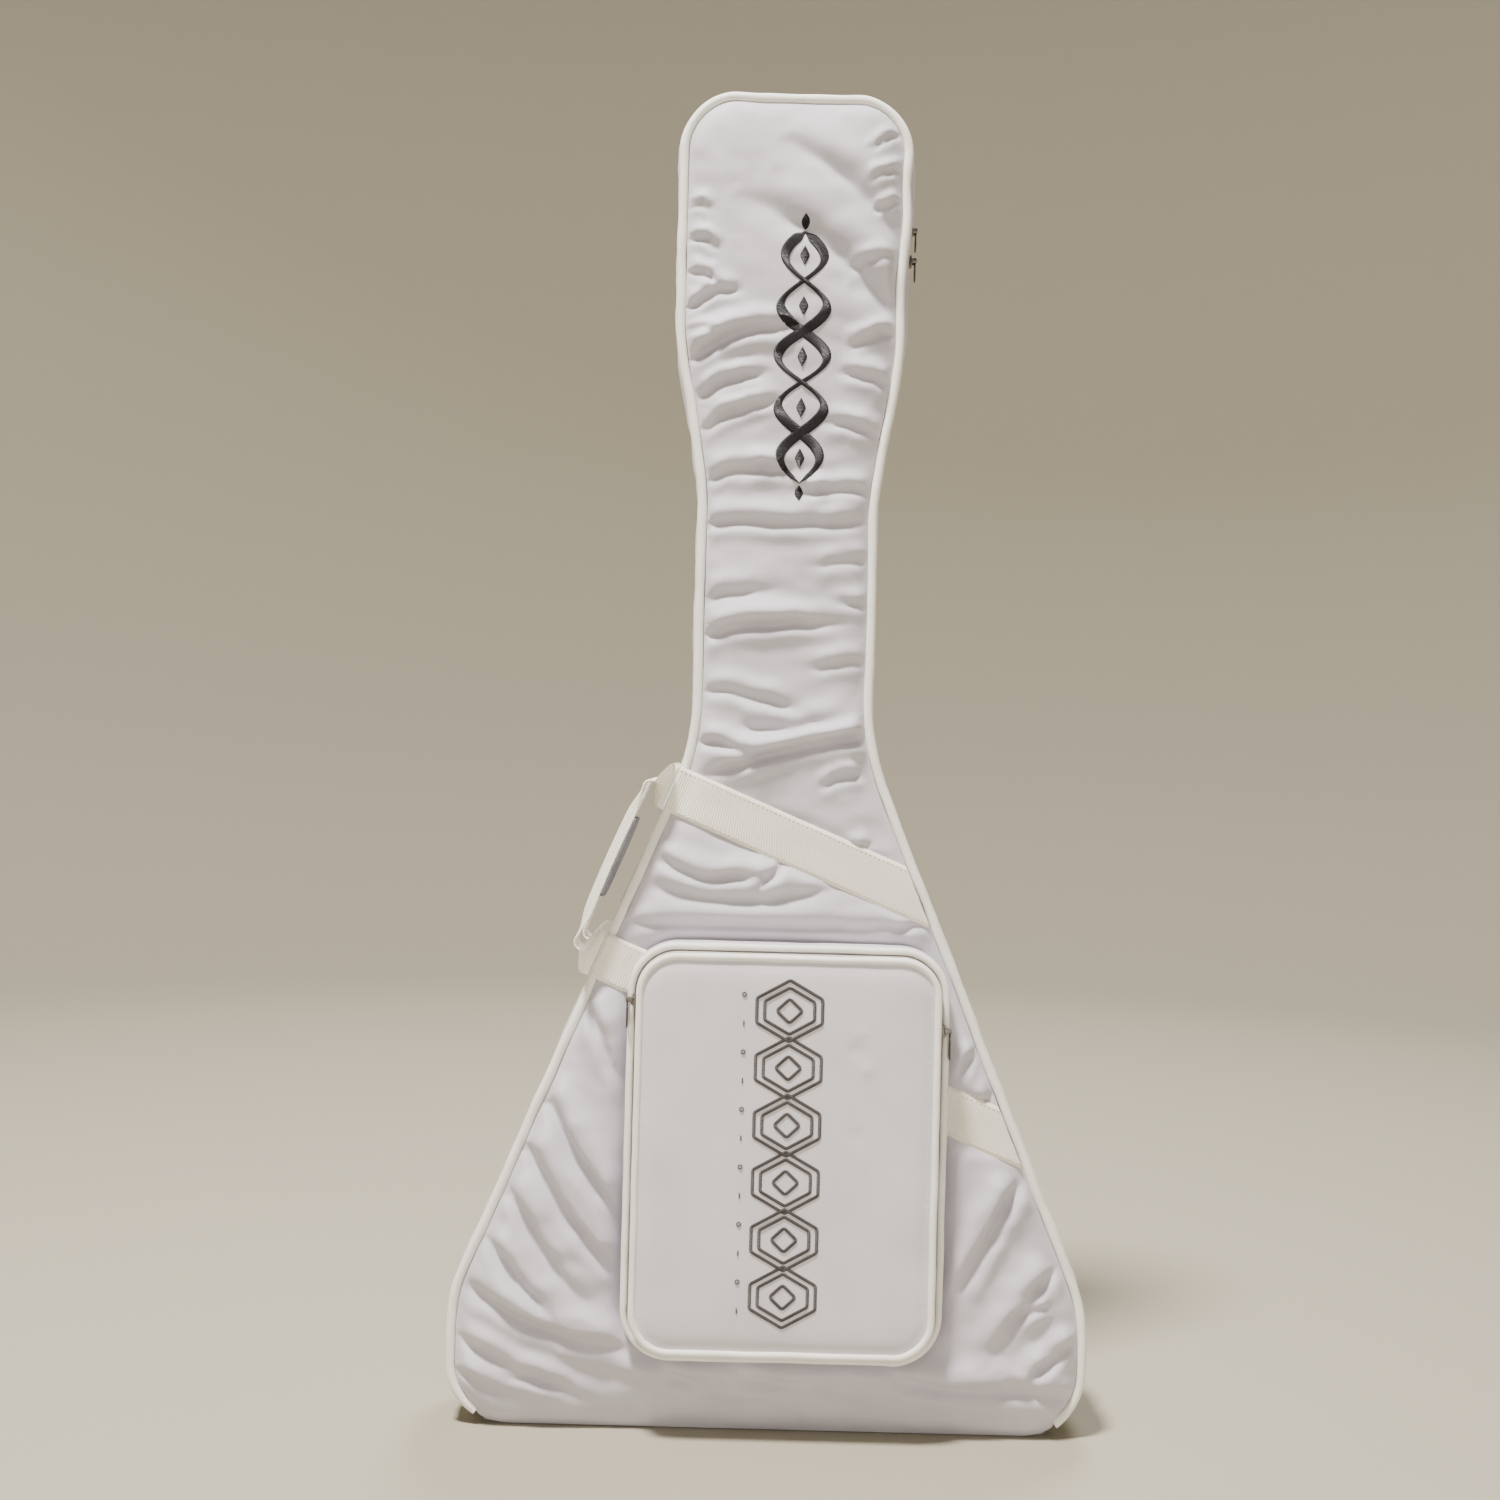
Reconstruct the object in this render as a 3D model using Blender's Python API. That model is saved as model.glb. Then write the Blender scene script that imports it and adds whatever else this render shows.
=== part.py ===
"""Padded gig bag for a V-shaped electric guitar, standing upright on its flat base.

Metres. +Z runs up the bag, +X to the right as seen from the front, and the front faces -Y.
The origin is the middle of the base, on the surface that the bag stands on.
"""

import math

import bmesh
import bpy
from mathutils import Matrix, Vector

# The bag's outline from the front, from the base up: half widths, heights of each stretch, corner radii
BASE_TAPER = 0.002
BODY_HALF = 0.274
NECK_HALF = 0.077
HEAD_HALF = 0.100
TIP_HEIGHT = 0.1075
WING_HEIGHT = 0.4755
NECK_HEIGHT = 0.217
FLARE_HEIGHT = 0.135
HEAD_HEIGHT = 0.205
BASE_RADIUS = 0.055
TIP_RADIUS = 0.15
WAIST_RADIUS = 0.20
FLARE_RADIUS = 0.15
HEAD_RADIUS = 0.05
ARC_STEP = math.radians(9)

# The shell
BAG_DEPTH = 0.076
PIPING_RADIUS = 0.0042
GUSSET_WALL = 0.010
BASE_THICK = 0.008
LINING = 0.0015
ZIP_HALF = 0.0037
ZIP_INSET = 0.001
ZIP_THICK = 0.0015
GAP = 0.0003

# Foam inside
BASE_PAD_HEIGHT = 0.022
BASE_PAD_END = 0.047
INNER_PAD_FRONT = 0.018
HEAD_PAD_HALF = 0.058
HEAD_PAD_HEIGHT = 0.027
CRADLE_HALF = 0.055
CRADLE_NOTCH = 0.027
CRADLE_FLOOR = 0.016
CRADLE_FRONT = 0.010
CRADLE_LENGTH = 0.050
CRADLE_BELOW_FLARE = 0.030
NECK_STRAP_WIDTH = 0.026
NECK_STRAP_THICK = 0.0022
PATCH_THICK = 0.0012
PATCH_WIDTH = 0.022

# The pocket on the front
POCKET_OFFSET = 0.011
POCKET_MARGIN = 0.028
POCKET_BOTTOM = 0.068
POCKET_HEIGHT = 0.350
POCKET_RADIUS = 0.042
POCKET_GUSSET = 0.020
POCKET_WALL = 0.009
POCKET_PIPING = 0.003
POCKET_ZIP_INSET = 0.0075
POCKET_ZIP_WIDTH = 0.0053
POCKET_ZIP_END = 0.045

# Webbing bands and the carry handles at the left edge
WEB_WIDTH = 0.040
WEB_THICK = 0.0022
BAND_SPACING = 0.1545
BAND_BELOW_NECK = 0.040
BACK_BAND_LENGTH = 0.050
HANDLE_OFF = 0.022
HANDLE_FLAT = 0.006
HANDLE_TWIST = 0.009
HANDLE_BEND = 0.006
HANDLE_START = 0.0008
HANDLE_COLUMNS = 6
TWIST_STEPS = 12
GRIP_LENGTH = 0.075
GRIP_WALL = 0.003

# Shoulder straps on the back
STRAP_X = 0.040
STRAP_TOP = 0.600
STRAP_BOTTOM = 0.115
STRAP_BOW = 0.040
STRAP_TOP_OFF = 0.011
STRAP_BOTTOM_OFF = 0.0065
STRAP_HALF = 0.030
STRAP_END_HALF = 0.021
STRAP_THICK = 0.009
STRAP_END_THICK = 0.004
STRAP_WEB = 0.025
LOCK_HALF = 0.019
LOCK_THICK = 0.006
PAD_SHARE = 0.60
LOCK_SHARE = 0.65
YOKE_HEIGHT = 0.055
YOKE_THICK = 0.010
TAB_LENGTH = 0.038
TAB_THICK = 0.007
LOOP_DROP = 0.045
LOOP_HALF_GAP = 0.0062
LOOP_WIDTH = 0.020
LOOP_BELOW_TOP = 0.065
LOOP_OFF = 0.0085

# Zip sliders and pulls
SLIDER_LENGTH = 0.010
SLIDER_HALF = 0.0045
SLIDER_PLATE = 0.0022
SLIDER_EAR = 0.0012
SLIDER_EAR_HEIGHT = 0.0042
PULL_THICK = 0.0012
PULL_NECK = 0.0065
PULL_LENGTH = 0.024
PULL_WIDTH = 0.0068
MAIN_PULL_LENGTH = 0.018
SLIDER_SPACING = 0.026
SLIDERS_BELOW_TOP = 0.105
POCKET_SLIDER_HALF = 0.0025
POCKET_SLIDER_PLATE = 0.0028
POCKET_SLIDER_EAR_HEIGHT = 0.0055
LEFT_SLIDER_DROP = 0.006
RIGHT_SLIDER_DROP = 0.026
ZIP_TAB_THICK = 0.0015
ZIP_TAB_HALF = 0.012
ZIP_TAB_TOP = 0.026

# Places worked out from those sizes
FRONT = -BAG_DEPTH / 2
BACK = BAG_DEPTH / 2
PANEL = 2 * PIPING_RADIUS
PANEL_INSET = PANEL + GAP
SEAM = BASE_THICK + GAP
WAIST = TIP_HEIGHT + WING_HEIGHT
NECK_TOP = WAIST + NECK_HEIGHT
HEAD_START = NECK_TOP + FLARE_HEIGHT
BAG_HEIGHT = HEAD_START + HEAD_HEIGHT
POCKET_TOP = POCKET_BOTTOM + POCKET_HEIGHT


def paint(name, red, green, blue, roughness, metallic=0.0):
    """A Principled material of one colour."""
    material = bpy.data.materials.new(name)
    material.use_nodes = True
    shader = material.node_tree.nodes["Principled BSDF"]
    shader.inputs["Base Color"].default_value = (red, green, blue, 1.0)
    shader.inputs["Roughness"].default_value = roughness
    shader.inputs["Metallic"].default_value = metallic
    material.diffuse_color = (red, green, blue, 1.0)
    return material


def finish(name, mesh_data, material):
    """Turn a bmesh into the named object, every face outwards."""
    bmesh.ops.remove_doubles(mesh_data, verts=mesh_data.verts, dist=1e-7)
    bmesh.ops.recalc_face_normals(mesh_data, faces=mesh_data.faces)
    if mesh_data.calc_volume(signed=True) < 0:
        bmesh.ops.reverse_faces(mesh_data, faces=mesh_data.faces)
    mesh = bpy.data.meshes.new(name)
    mesh_data.to_mesh(mesh)
    mesh_data.free()
    mesh.materials.append(material)
    item = bpy.data.objects.new(name, mesh)
    bpy.context.scene.collection.objects.link(item)
    return item


def loft(name, rings, material, closed=False, cut_height=None):
    """Skin a row of rings with the same count of points; the ends are capped unless it closes on itself."""
    shape = bmesh.new()
    rows = [[shape.verts.new(point) for point in ring] for ring in rings]
    size = len(rings[0])
    last = len(rows) if closed else len(rows) - 1
    for i in range(last):
        here, there = rows[i], rows[(i + 1) % len(rows)]
        for k in range(size):
            shape.faces.new((here[k], here[(k + 1) % size], there[(k + 1) % size], there[k]))
    if not closed:
        shape.faces.new(rows[0])
        shape.faces.new(rows[-1])
    if cut_height is not None:
        everything = shape.verts[:] + shape.edges[:] + shape.faces[:]
        bmesh.ops.bisect_plane(
            shape, geom=everything, plane_co=(0, 0, cut_height), plane_no=(0, 0, 1), clear_inner=True)
        rim = [edge for edge in shape.edges if edge.is_boundary]
        bmesh.ops.holes_fill(shape, edges=rim)
    return finish(name, shape, material)


def plate(name, outline, low, high, material):
    """A flat plate: an outline in X and Z, from one Y to another."""
    return loft(name, [[(x, y, z) for x, z in outline] for y in (low, high)], material)


def block(name, low, high, material):
    """A box from its low corner to its high corner."""
    outline = ((low[0], low[2]), (high[0], low[2]), (high[0], high[2]), (low[0], high[2]))
    return plate(name, outline, low[1], high[1], material)


def rounded(corners):
    """A closed outline in X and Z from (x, z, radius) corners, with an arc at each corner."""
    points = []
    for i, (x, z, radius) in enumerate(corners):
        corner = Vector((x, z))
        before = (Vector(corners[i - 1][:2]) - corner).normalized()
        after = (Vector(corners[(i + 1) % len(corners)][:2]) - corner).normalized()
        turn = math.pi - before.angle(after)
        centre = corner + (before + after).normalized() * radius / math.cos(turn / 2)
        start = corner + before * radius * math.tan(turn / 2) - centre
        side = 1 if before.x * after.y - before.y * after.x < 0 else -1
        steps = max(2, round(turn / ARC_STEP))
        for k in range(steps + 1):
            spoke = Matrix.Rotation(side * turn * k / steps, 2) @ start
            points.append(centre + spoke)
    return points


def inward(points):
    """At each point of a closed anticlockwise outline, the step that moves both its edges 1 m inwards."""
    steps = []
    for i, point in enumerate(points):
        before = (point - points[i - 1]).normalized()
        after = (points[(i + 1) % len(points)] - point).normalized()
        normal = Vector((-before.y - after.y, before.x + after.x)).normalized()
        steps.append(normal / normal.dot(Vector((-after.y, after.x))))
    return steps


def inset(points, distance):
    """A closed outline moved inwards."""
    return [point + step * distance for point, step in zip(points, inward(points))]


def along(points, profile, lowest=None):
    """Rings that carry a profile of (inset, y) points round an outline, or round its part above a height."""
    stations = list(zip(points, inward(points)))
    if lowest is not None:
        kept = [i for i, point in enumerate(points) if point.y >= lowest]
        ends = []
        for inner, outer in ((kept[0], kept[0] - 1), (kept[-1], (kept[-1] + 1) % len(points))):
            share = (points[inner].y - lowest) / (points[inner].y - points[outer].y)
            ends.append(tuple(stations[inner][k].lerp(stations[outer][k], share) for k in (0, 1)))
        stations = [ends[0]] + stations[kept[0]:kept[-1] + 1] + [ends[1]]
    return [[(point.x + step.x * deep, y, point.y + step.y * deep) for deep, y in profile]
            for point, step in stations]


def strip(deep_outer, deep_inner, low, high):
    """The profile of a flat strip."""
    return ((deep_outer, low), (deep_inner, low), (deep_inner, high), (deep_outer, high))


def cord(deep, y, radius):
    """The profile of a round piping cord."""
    turns = [2 * math.pi * k / 8 for k in range(8)]
    return [(deep + radius * math.cos(turn), y + radius * math.sin(turn)) for turn in turns]


def crossing(points, start, direction):
    """Where a line from a point inside first meets a closed outline."""
    hits = []
    for i, first in enumerate(points):
        side = points[(i + 1) % len(points)] - first
        spread = direction.x * side.y - direction.y * side.x
        if abs(spread) > 1e-12:
            reach = first - start
            travel = (reach.x * side.y - reach.y * side.x) / spread
            share = (reach.x * direction.y - reach.y * direction.x) / spread
            if travel > 0 and 0 <= share <= 1:
                hits.append(travel)
    return start + direction * min(hits)


def ribbon(name, centres, widths, half_widths, half_thicks, material, columns=1):
    """A strap through a row of points, with its width direction, half width and half thickness at each.

    Columns splits its width, which keeps both faces of a twisted strap clear of each other.
    """
    rings = []
    shares = [2 * k / columns - 1 for k in range(columns + 1)]
    for i, centre in enumerate(centres):
        run = centres[min(i + 1, len(centres) - 1)] - centres[max(i - 1, 0)]
        across = widths[i].normalized()
        thick = run.cross(across).normalized() * half_thicks[i]
        wide = across * half_widths[i]
        lower = [centre + wide * share - thick for share in shares]
        upper = [centre + wide * share + thick for share in reversed(shares)]
        rings.append(lower + upper)
    return loft(name, rings, material)


def pivot(name, place, children, parent=None):
    """An empty on a joint's axis, which carries the pieces that move with the joint."""
    empty = bpy.data.objects.new(name, None)
    bpy.context.scene.collection.objects.link(empty)
    empty.empty_display_size = 0.02
    empty.parent = parent
    empty.location = Vector(place) - (parent.matrix_world.translation if parent else Vector())
    bpy.context.view_layer.update()
    for child in children:
        child.parent = empty
        child.matrix_parent_inverse = empty.matrix_world.inverted()
    return empty


def cut(item, cutter, name):
    """Take a cutter's shape out of an item, with the cutter kept as a hidden guide."""
    change = item.modifiers.new(name, "BOOLEAN")
    change.operation = "DIFFERENCE"
    change.object = cutter
    cutter.hide_render = True
    cutter.display_type = "WIRE"


def bag_outline():
    """The whole bag from the front, anticlockwise from the right base corner."""
    half = (
        (BODY_HALF - BASE_TAPER, 0.0, BASE_RADIUS),
        (BODY_HALF, TIP_HEIGHT, TIP_RADIUS),
        (NECK_HALF, WAIST, WAIST_RADIUS),
        (NECK_HALF, NECK_TOP, FLARE_RADIUS),
        (HEAD_HALF, HEAD_START, FLARE_RADIUS),
        (HEAD_HALF, BAG_HEIGHT, HEAD_RADIUS),
    )
    return rounded(half + tuple((-x, z, radius) for x, z, radius in reversed(half)))


def wing_edge():
    """The left slanted edge: its direction upwards, and the direction across the bag at right angles to it."""
    up = Vector((BODY_HALF - NECK_HALF, WING_HEIGHT)).normalized()
    return up, Vector((up.y, -up.x))


def band_starts(outline):
    """Where the middle of each band leaves the left edge, upper one first."""
    up, across = wing_edge()
    first = Vector((-NECK_HALF, WAIST)) - up * BAND_BELOW_NECK
    inside = [first + across * BAND_BELOW_NECK - up * drop for drop in (0.0, BAND_SPACING)]
    return [crossing(outline, point, -across) for point in inside]


def band_outline(outline, start, length=None):
    """The four corners of a band that starts at the left edge and stops at the right one, or at a length."""
    up, across = wing_edge()
    inner = inset(outline, PANEL_INSET)
    corners = []
    for side in (-1, 1):
        near = start + up * side * WEB_WIDTH / 2 + across * GAP
        inside = near + across * BAND_BELOW_NECK
        far = near + across * length if length else crossing(inner, inside, across)
        corners.append((near, far))
    return [corners[0][0], corners[0][1], corners[1][1], corners[1][0]]


def shell(outline, colours):
    """Panels, linings, gussets, zip tapes and piping of the two halves, and the base between them."""
    halves = {}
    for side, face, name in ((1, FRONT, "front"), (-1, BACK, "back")):
        behind = face + side * (PANEL + GAP)
        middle = -side * (ZIP_HALF + GAP)
        low = BASE_THICK / 2
        nodes = [
            plate(f"{name}_panel", inset(outline, PANEL_INSET), face, face + side * PANEL, colours["nylon"]),
            plate(f"{name}_lining", inset(outline, GUSSET_WALL + GAP), behind, behind + side * LINING,
                  colours["lining"]),
            loft(f"{name}_gusset", along(outline, strip(0, GUSSET_WALL, behind, middle), low),
                 colours["nylon"], cut_height=SEAM),
            loft(f"{name}_zip_tape",
                 along(outline, strip(ZIP_INSET, ZIP_INSET + ZIP_THICK, -side * ZIP_HALF, -side * GAP), low),
                 colours["zip"], cut_height=SEAM),
        ]
        bead = cord(PIPING_RADIUS, face + side * PIPING_RADIUS, PIPING_RADIUS)
        if name == "front":
            nodes.append(loft("front_piping", along(outline, bead, low), colours["piping"], cut_height=SEAM))
        else:
            nodes.append(loft("back_piping", along(outline, bead), colours["piping"], closed=True))
        halves[name] = nodes
    low_edge = [point for point in outline if point.y < BASE_THICK]
    right = crossing(outline, Vector((0, BASE_THICK)), Vector((1, 0)))
    left = crossing(outline, Vector((0, BASE_THICK)), Vector((-1, 0)))
    left_side = [point for point in low_edge if point.x < 0]
    right_side = [point for point in low_edge if point.x > 0]
    floor = [left] + left_side + right_side + [right]
    halves["back"].append(plate("base_panel", floor, FRONT, BACK - PANEL - GAP, colours["nylon"]))
    return halves["front"], halves["back"]


def inner_pads(colours):
    """Foam at the base and the head, and the neck cradle with its closing strap."""
    rear = BACK - PANEL - LINING - 3 * GAP
    base_half = BODY_HALF - BASE_TAPER - BASE_PAD_END
    head_top = BAG_HEIGHT - GUSSET_WALL - 0.005
    cradle_top = NECK_TOP - CRADLE_BELOW_FLARE
    cradle_base = cradle_top - CRADLE_LENGTH
    front = -CRADLE_FRONT
    notch = ((-CRADLE_HALF, rear), (CRADLE_HALF, rear), (CRADLE_HALF, front), (CRADLE_NOTCH, front),
             (CRADLE_NOTCH, rear - CRADLE_FLOOR), (-CRADLE_NOTCH, rear - CRADLE_FLOOR), (-CRADLE_NOTCH, front),
             (-CRADLE_HALF, front))
    cradle = loft("neck_cradle", [[(x, y, z) for x, y in notch] for z in (cradle_base, cradle_top)],
                  colours["lining"])
    strap_low = (cradle_base + cradle_top - NECK_STRAP_WIDTH) / 2
    patch_face = front - GAP - PATCH_THICK
    patch = block("neck_strap_patch", (CRADLE_HALF - PATCH_WIDTH, patch_face, strap_low),
                  (CRADLE_HALF - 0.002, front - GAP, strap_low + NECK_STRAP_WIDTH), colours["black"])
    strap = block("neck_strap", (-CRADLE_HALF, patch_face - GAP - NECK_STRAP_THICK, strap_low),
                  (CRADLE_HALF, patch_face - GAP, strap_low + NECK_STRAP_WIDTH), colours["black"])
    base = block("base_pad", (-base_half, -INNER_PAD_FRONT, SEAM),
                 (base_half, rear, SEAM + BASE_PAD_HEIGHT), colours["lining"])
    head = block("head_pad", (-HEAD_PAD_HALF, -INNER_PAD_FRONT, head_top - HEAD_PAD_HEIGHT),
                 (HEAD_PAD_HALF, rear, head_top), colours["lining"])
    return [cradle, patch, strap, base, head]


def bands(outline, colours):
    """Webbing bands across the front, and the short ends of the rear handle's webbing on the back."""
    front, back = [], []
    for start, name in zip(band_starts(outline), ("upper", "lower")):
        face = FRONT - GAP
        front.append(plate(f"front_band_{name}", band_outline(outline, start), face - WEB_THICK, face,
                           colours["webbing"]))
        short = band_outline(outline, start, BACK_BAND_LENGTH)
        back.append(plate(f"back_band_{name}", short, BACK + GAP, BACK + GAP + WEB_THICK, colours["webbing"]))
    return front, back


def handle_route():
    """Off the edge, along it and back: (distance along, distance off, share of the quarter twist left)."""
    rise = HANDLE_FLAT + HANDLE_TWIST
    start = [(0.0, HANDLE_START, 1.0), (0.0, HANDLE_FLAT, 1.0)]
    shares = [k / TWIST_STEPS for k in range(1, TWIST_STEPS + 1)]
    start += [(0.0, HANDLE_FLAT + HANDLE_TWIST * share, 1 - share) for share in shares]
    reach = HANDLE_OFF - rise
    turns = [math.radians(90 * k / 3) for k in range(1, 4)]
    start += [(HANDLE_BEND * (1 - math.cos(turn)), rise + reach * math.sin(turn), 0.0) for turn in turns]
    end = [(BAND_SPACING - distance, off, twist) for distance, off, twist in reversed(start)]
    return start + end


def handle(name, outline, face, colours):
    """A carry handle of webbing at the left edge of one face, between the ends of its two bands."""
    up, across = wing_edge()
    upper, lower = band_starts(outline)
    run = (upper - lower).normalized()
    out = Vector((-run.y, run.x))
    spacing = (upper - lower).length / BAND_SPACING
    level = face + math.copysign(GAP + WEB_THICK / 2, face)
    centres, widths = [], []
    for distance, off, twist in handle_route():
        place = lower + run * distance * spacing + out * off
        centres.append(Vector((place.x, level, place.y)))
        angle = math.radians(90) * twist
        turned = run * math.sin(angle) * (1 if distance < BAND_SPACING / 2 else -1)
        widths.append(Vector((turned.x, math.cos(angle), turned.y)))
    count = len(centres)
    item = ribbon(name, centres, widths, [WEB_WIDTH / 2] * count, [WEB_THICK / 2] * count, colours["webbing"],
                  HANDLE_COLUMNS)
    axis_point = (lower + upper) / 2
    return item, Vector((axis_point.x, level, axis_point.y)), run, out


def handle_grip(middle, run, out, colours):
    """A padded wrap round the rear handle, open along its outer side where it closes."""
    hole_wide = WEB_WIDTH / 2 + GAP
    hole_thick = WEB_THICK / 2 + GAP
    wide = hole_wide + GRIP_WALL
    thick = hole_thick + GRIP_WALL
    slit = GAP * 2
    profile = ((slit, thick), (wide, thick), (wide, -thick), (-wide, -thick), (-wide, thick), (-slit, thick),
               (-slit, hole_thick), (-hole_wide, hole_thick), (-hole_wide, -hole_thick),
               (hole_wide, -hole_thick), (hole_wide, hole_thick), (slit, hole_thick))
    rings = []
    for side in (-1, 1):
        place = Vector((middle.x, middle.z)) + out * HANDLE_OFF + run * side * GRIP_LENGTH / 2
        rings.append([(place.x + out.x * off, middle.y + y, place.y + out.y * off) for y, off in profile])
    return loft("handle_grip", rings, colours["grip"])


def strap_point(share, x):
    """A point on the bowed line of a shoulder strap, from its top anchor to its bottom one."""
    off = STRAP_TOP_OFF + (STRAP_BOTTOM_OFF - STRAP_TOP_OFF) * share + STRAP_BOW * math.sin(math.pi * share)
    return Vector((x, BACK + off, STRAP_TOP + (STRAP_BOTTOM - STRAP_TOP) * share))


def shoulder_strap(name, x, colours):
    """A padded strap, its ladder lock and the webbing below it, which swing as one."""
    wide = Vector((1, 0, 0))
    shares = [PAD_SHARE * k / 12 for k in range(13)]
    ease = [min(1.0, share / 0.12) for share in shares]
    halves = [STRAP_END_HALF + (STRAP_HALF - STRAP_END_HALF) * grow for grow in ease]
    thicks = [(STRAP_END_THICK + (STRAP_THICK - STRAP_END_THICK) * grow) / 2 for grow in ease]
    pad = ribbon(f"shoulder_strap_{name}", [strap_point(share, x) for share in shares], [wide] * 13, halves,
                 thicks, colours["nylon"])
    step = 0.0012
    lock_shares = (PAD_SHARE + step, (PAD_SHARE + LOCK_SHARE) / 2, LOCK_SHARE - step)
    lock = ribbon(f"ladder_lock_{name}", [strap_point(share, x) for share in lock_shares], [wide] * 3,
                  [LOCK_HALF] * 3, [LOCK_THICK / 2] * 3, colours["black"])
    slot_half = STRAP_WEB / 2 + 0.001
    lock_mid = strap_point(lock_shares[1], x)
    for side, part in ((-1, "upper"), (1, "lower")):
        slot = block(f"slot_cutter_{name}_{part}",
                     (x - slot_half, lock_mid.y - 0.02, lock_mid.z + side * 0.0055 - 0.0022),
                     (x + slot_half, lock_mid.y + 0.02, lock_mid.z + side * 0.0055 + 0.0022), colours["black"])
        cut(lock, slot, f"slot_{part}")
    web_shares = [LOCK_SHARE + (1 - LOCK_SHARE) * k / 8 for k in range(9)]
    web = ribbon(f"strap_webbing_{name}", [strap_point(share, x) for share in web_shares], [wide] * 9,
                 [STRAP_WEB / 2] * 9, [WEB_THICK / 2] * 9, colours["webbing"])
    tab_top = STRAP_BOTTOM - 2 * GAP
    half = STRAP_WEB / 2 + 0.004
    tab = block(f"strap_anchor_{name}", (x - half, BACK + GAP, tab_top - TAB_LENGTH),
                (x + half, BACK + GAP + TAB_THICK, tab_top), colours["nylon"])
    return [pad, lock, web], tab


def back_fittings(colours):
    """The yoke above the straps, and the hang loop with its patch near the head."""
    low = STRAP_TOP + 2 * GAP
    bottom_half = STRAP_X + STRAP_END_HALF + 0.003
    top_half = bottom_half - 0.010
    yoke = plate("strap_yoke", ((-bottom_half, low), (bottom_half, low), (top_half, low + YOKE_HEIGHT),
                                (-top_half, low + YOKE_HEIGHT)), BACK + GAP, BACK + GAP + YOKE_THICK,
                 colours["nylon"])
    top = BAG_HEIGHT - LOOP_BELOW_TOP
    centre = BACK + LOOP_OFF
    shares = [0.06 + 0.88 * k / 14 for k in range(15)]
    route = [Vector((0, centre - LOOP_HALF_GAP * math.sin(2 * math.pi * share),
                     top - LOOP_DROP * math.sin(math.pi * share))) for share in shares]
    half_loop = [LOOP_WIDTH / 2] * 15
    loop = ribbon("hang_loop", route, [Vector((1, 0, 0))] * 15, half_loop, [WEB_THICK / 2] * 15,
                  colours["webbing"])
    half = LOOP_WIDTH / 2 + 0.004
    patch = block("hang_loop_patch", (-half, BACK + GAP, top - 0.015), (half, BACK + GAP + 0.0015, top + 0.015),
                  colours["webbing"])
    return yoke, patch, loop, Vector((0, centre, top))


def pocket_half():
    """Half the pocket's width: inside the slanted edges where its top corners start, and below the upper band."""
    below_waist = WAIST - (POCKET_TOP - POCKET_RADIUS)
    edge = NECK_HALF + below_waist * (BODY_HALF - NECK_HALF) / WING_HEIGHT
    up, across = wing_edge()
    low_edge = Vector((-NECK_HALF, WAIST)) + across * BAND_BELOW_NECK - up * (BAND_BELOW_NECK + WEB_WIDTH / 2)
    below_band = low_edge.x + (POCKET_TOP + 2 * GAP - low_edge.y) * across.x / across.y
    return min(edge - POCKET_MARGIN, below_band - POCKET_OFFSET)


def pocket_outline():
    """The pocket from the front, anticlockwise from its right bottom corner."""
    half = pocket_half()
    corners = ((1, POCKET_BOTTOM), (1, POCKET_TOP), (-1, POCKET_TOP), (-1, POCKET_BOTTOM))
    return rounded([(POCKET_OFFSET + side * half, z, POCKET_RADIUS) for side, z in corners])


def pocket(outline, colours):
    """The pocket's gusset and rear piping, which stay on the front, and its front, which tips forwards."""
    rim = pocket_outline()
    root = FRONT - GAP
    edge = root - POCKET_GUSSET
    bead = edge - GAP - POCKET_PIPING
    zip_start = edge - GAP - 2 * POCKET_PIPING
    zip_end = zip_start - GAP - POCKET_ZIP_WIDTH
    front_bead = zip_end - GAP - POCKET_PIPING
    panel_inset = POCKET_ZIP_INSET + 2 * POCKET_PIPING + GAP
    zip_deep = POCKET_ZIP_INSET + ZIP_THICK
    low = POCKET_BOTTOM + POCKET_ZIP_END
    gusset = loft("pocket_gusset", along(rim, strip(0, POCKET_WALL, edge, root)), colours["nylon"], closed=True)
    channel = inset(band_outline(outline, band_starts(outline)[1]), -2 * GAP)
    cutter = plate("band_cutter", channel, root - WEB_THICK - 2 * GAP, root + 0.01, colours["nylon"])
    cut(gusset, cutter, "band_channel")
    rear_piping = loft("pocket_outer_piping", along(rim, cord(POCKET_PIPING, bead, POCKET_PIPING)),
                       colours["piping"], closed=True)
    rear_tape = loft("pocket_rear_zip_tape", along(rim, strip(POCKET_ZIP_INSET, zip_deep, zip_start, edge - GAP),
                                                   low), colours["zip"])
    front_tape = loft("pocket_front_zip_tape",
                      along(rim, strip(POCKET_ZIP_INSET, zip_deep, zip_end, zip_start - GAP), low),
                      colours["zip"])
    front_piping = loft("pocket_inner_piping", along(rim, cord(POCKET_ZIP_INSET + POCKET_PIPING, front_bead,
                                                               POCKET_PIPING)), colours["piping"], closed=True)
    face = front_bead - POCKET_PIPING
    behind = zip_end - GAP
    panel = plate("pocket_panel", inset(rim, panel_inset), face, behind, colours["nylon"])
    lining = plate("pocket_lining", inset(rim, panel_inset), behind + GAP, behind + GAP + LINING,
                   colours["lining"])
    hinge = Vector((POCKET_OFFSET, face, POCKET_BOTTOM + POCKET_ZIP_INSET))
    slider_y = (zip_start + zip_end) / 2
    return [gusset, rear_piping, rear_tape], [panel, lining, front_piping, front_tape], hinge, slider_y


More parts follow.
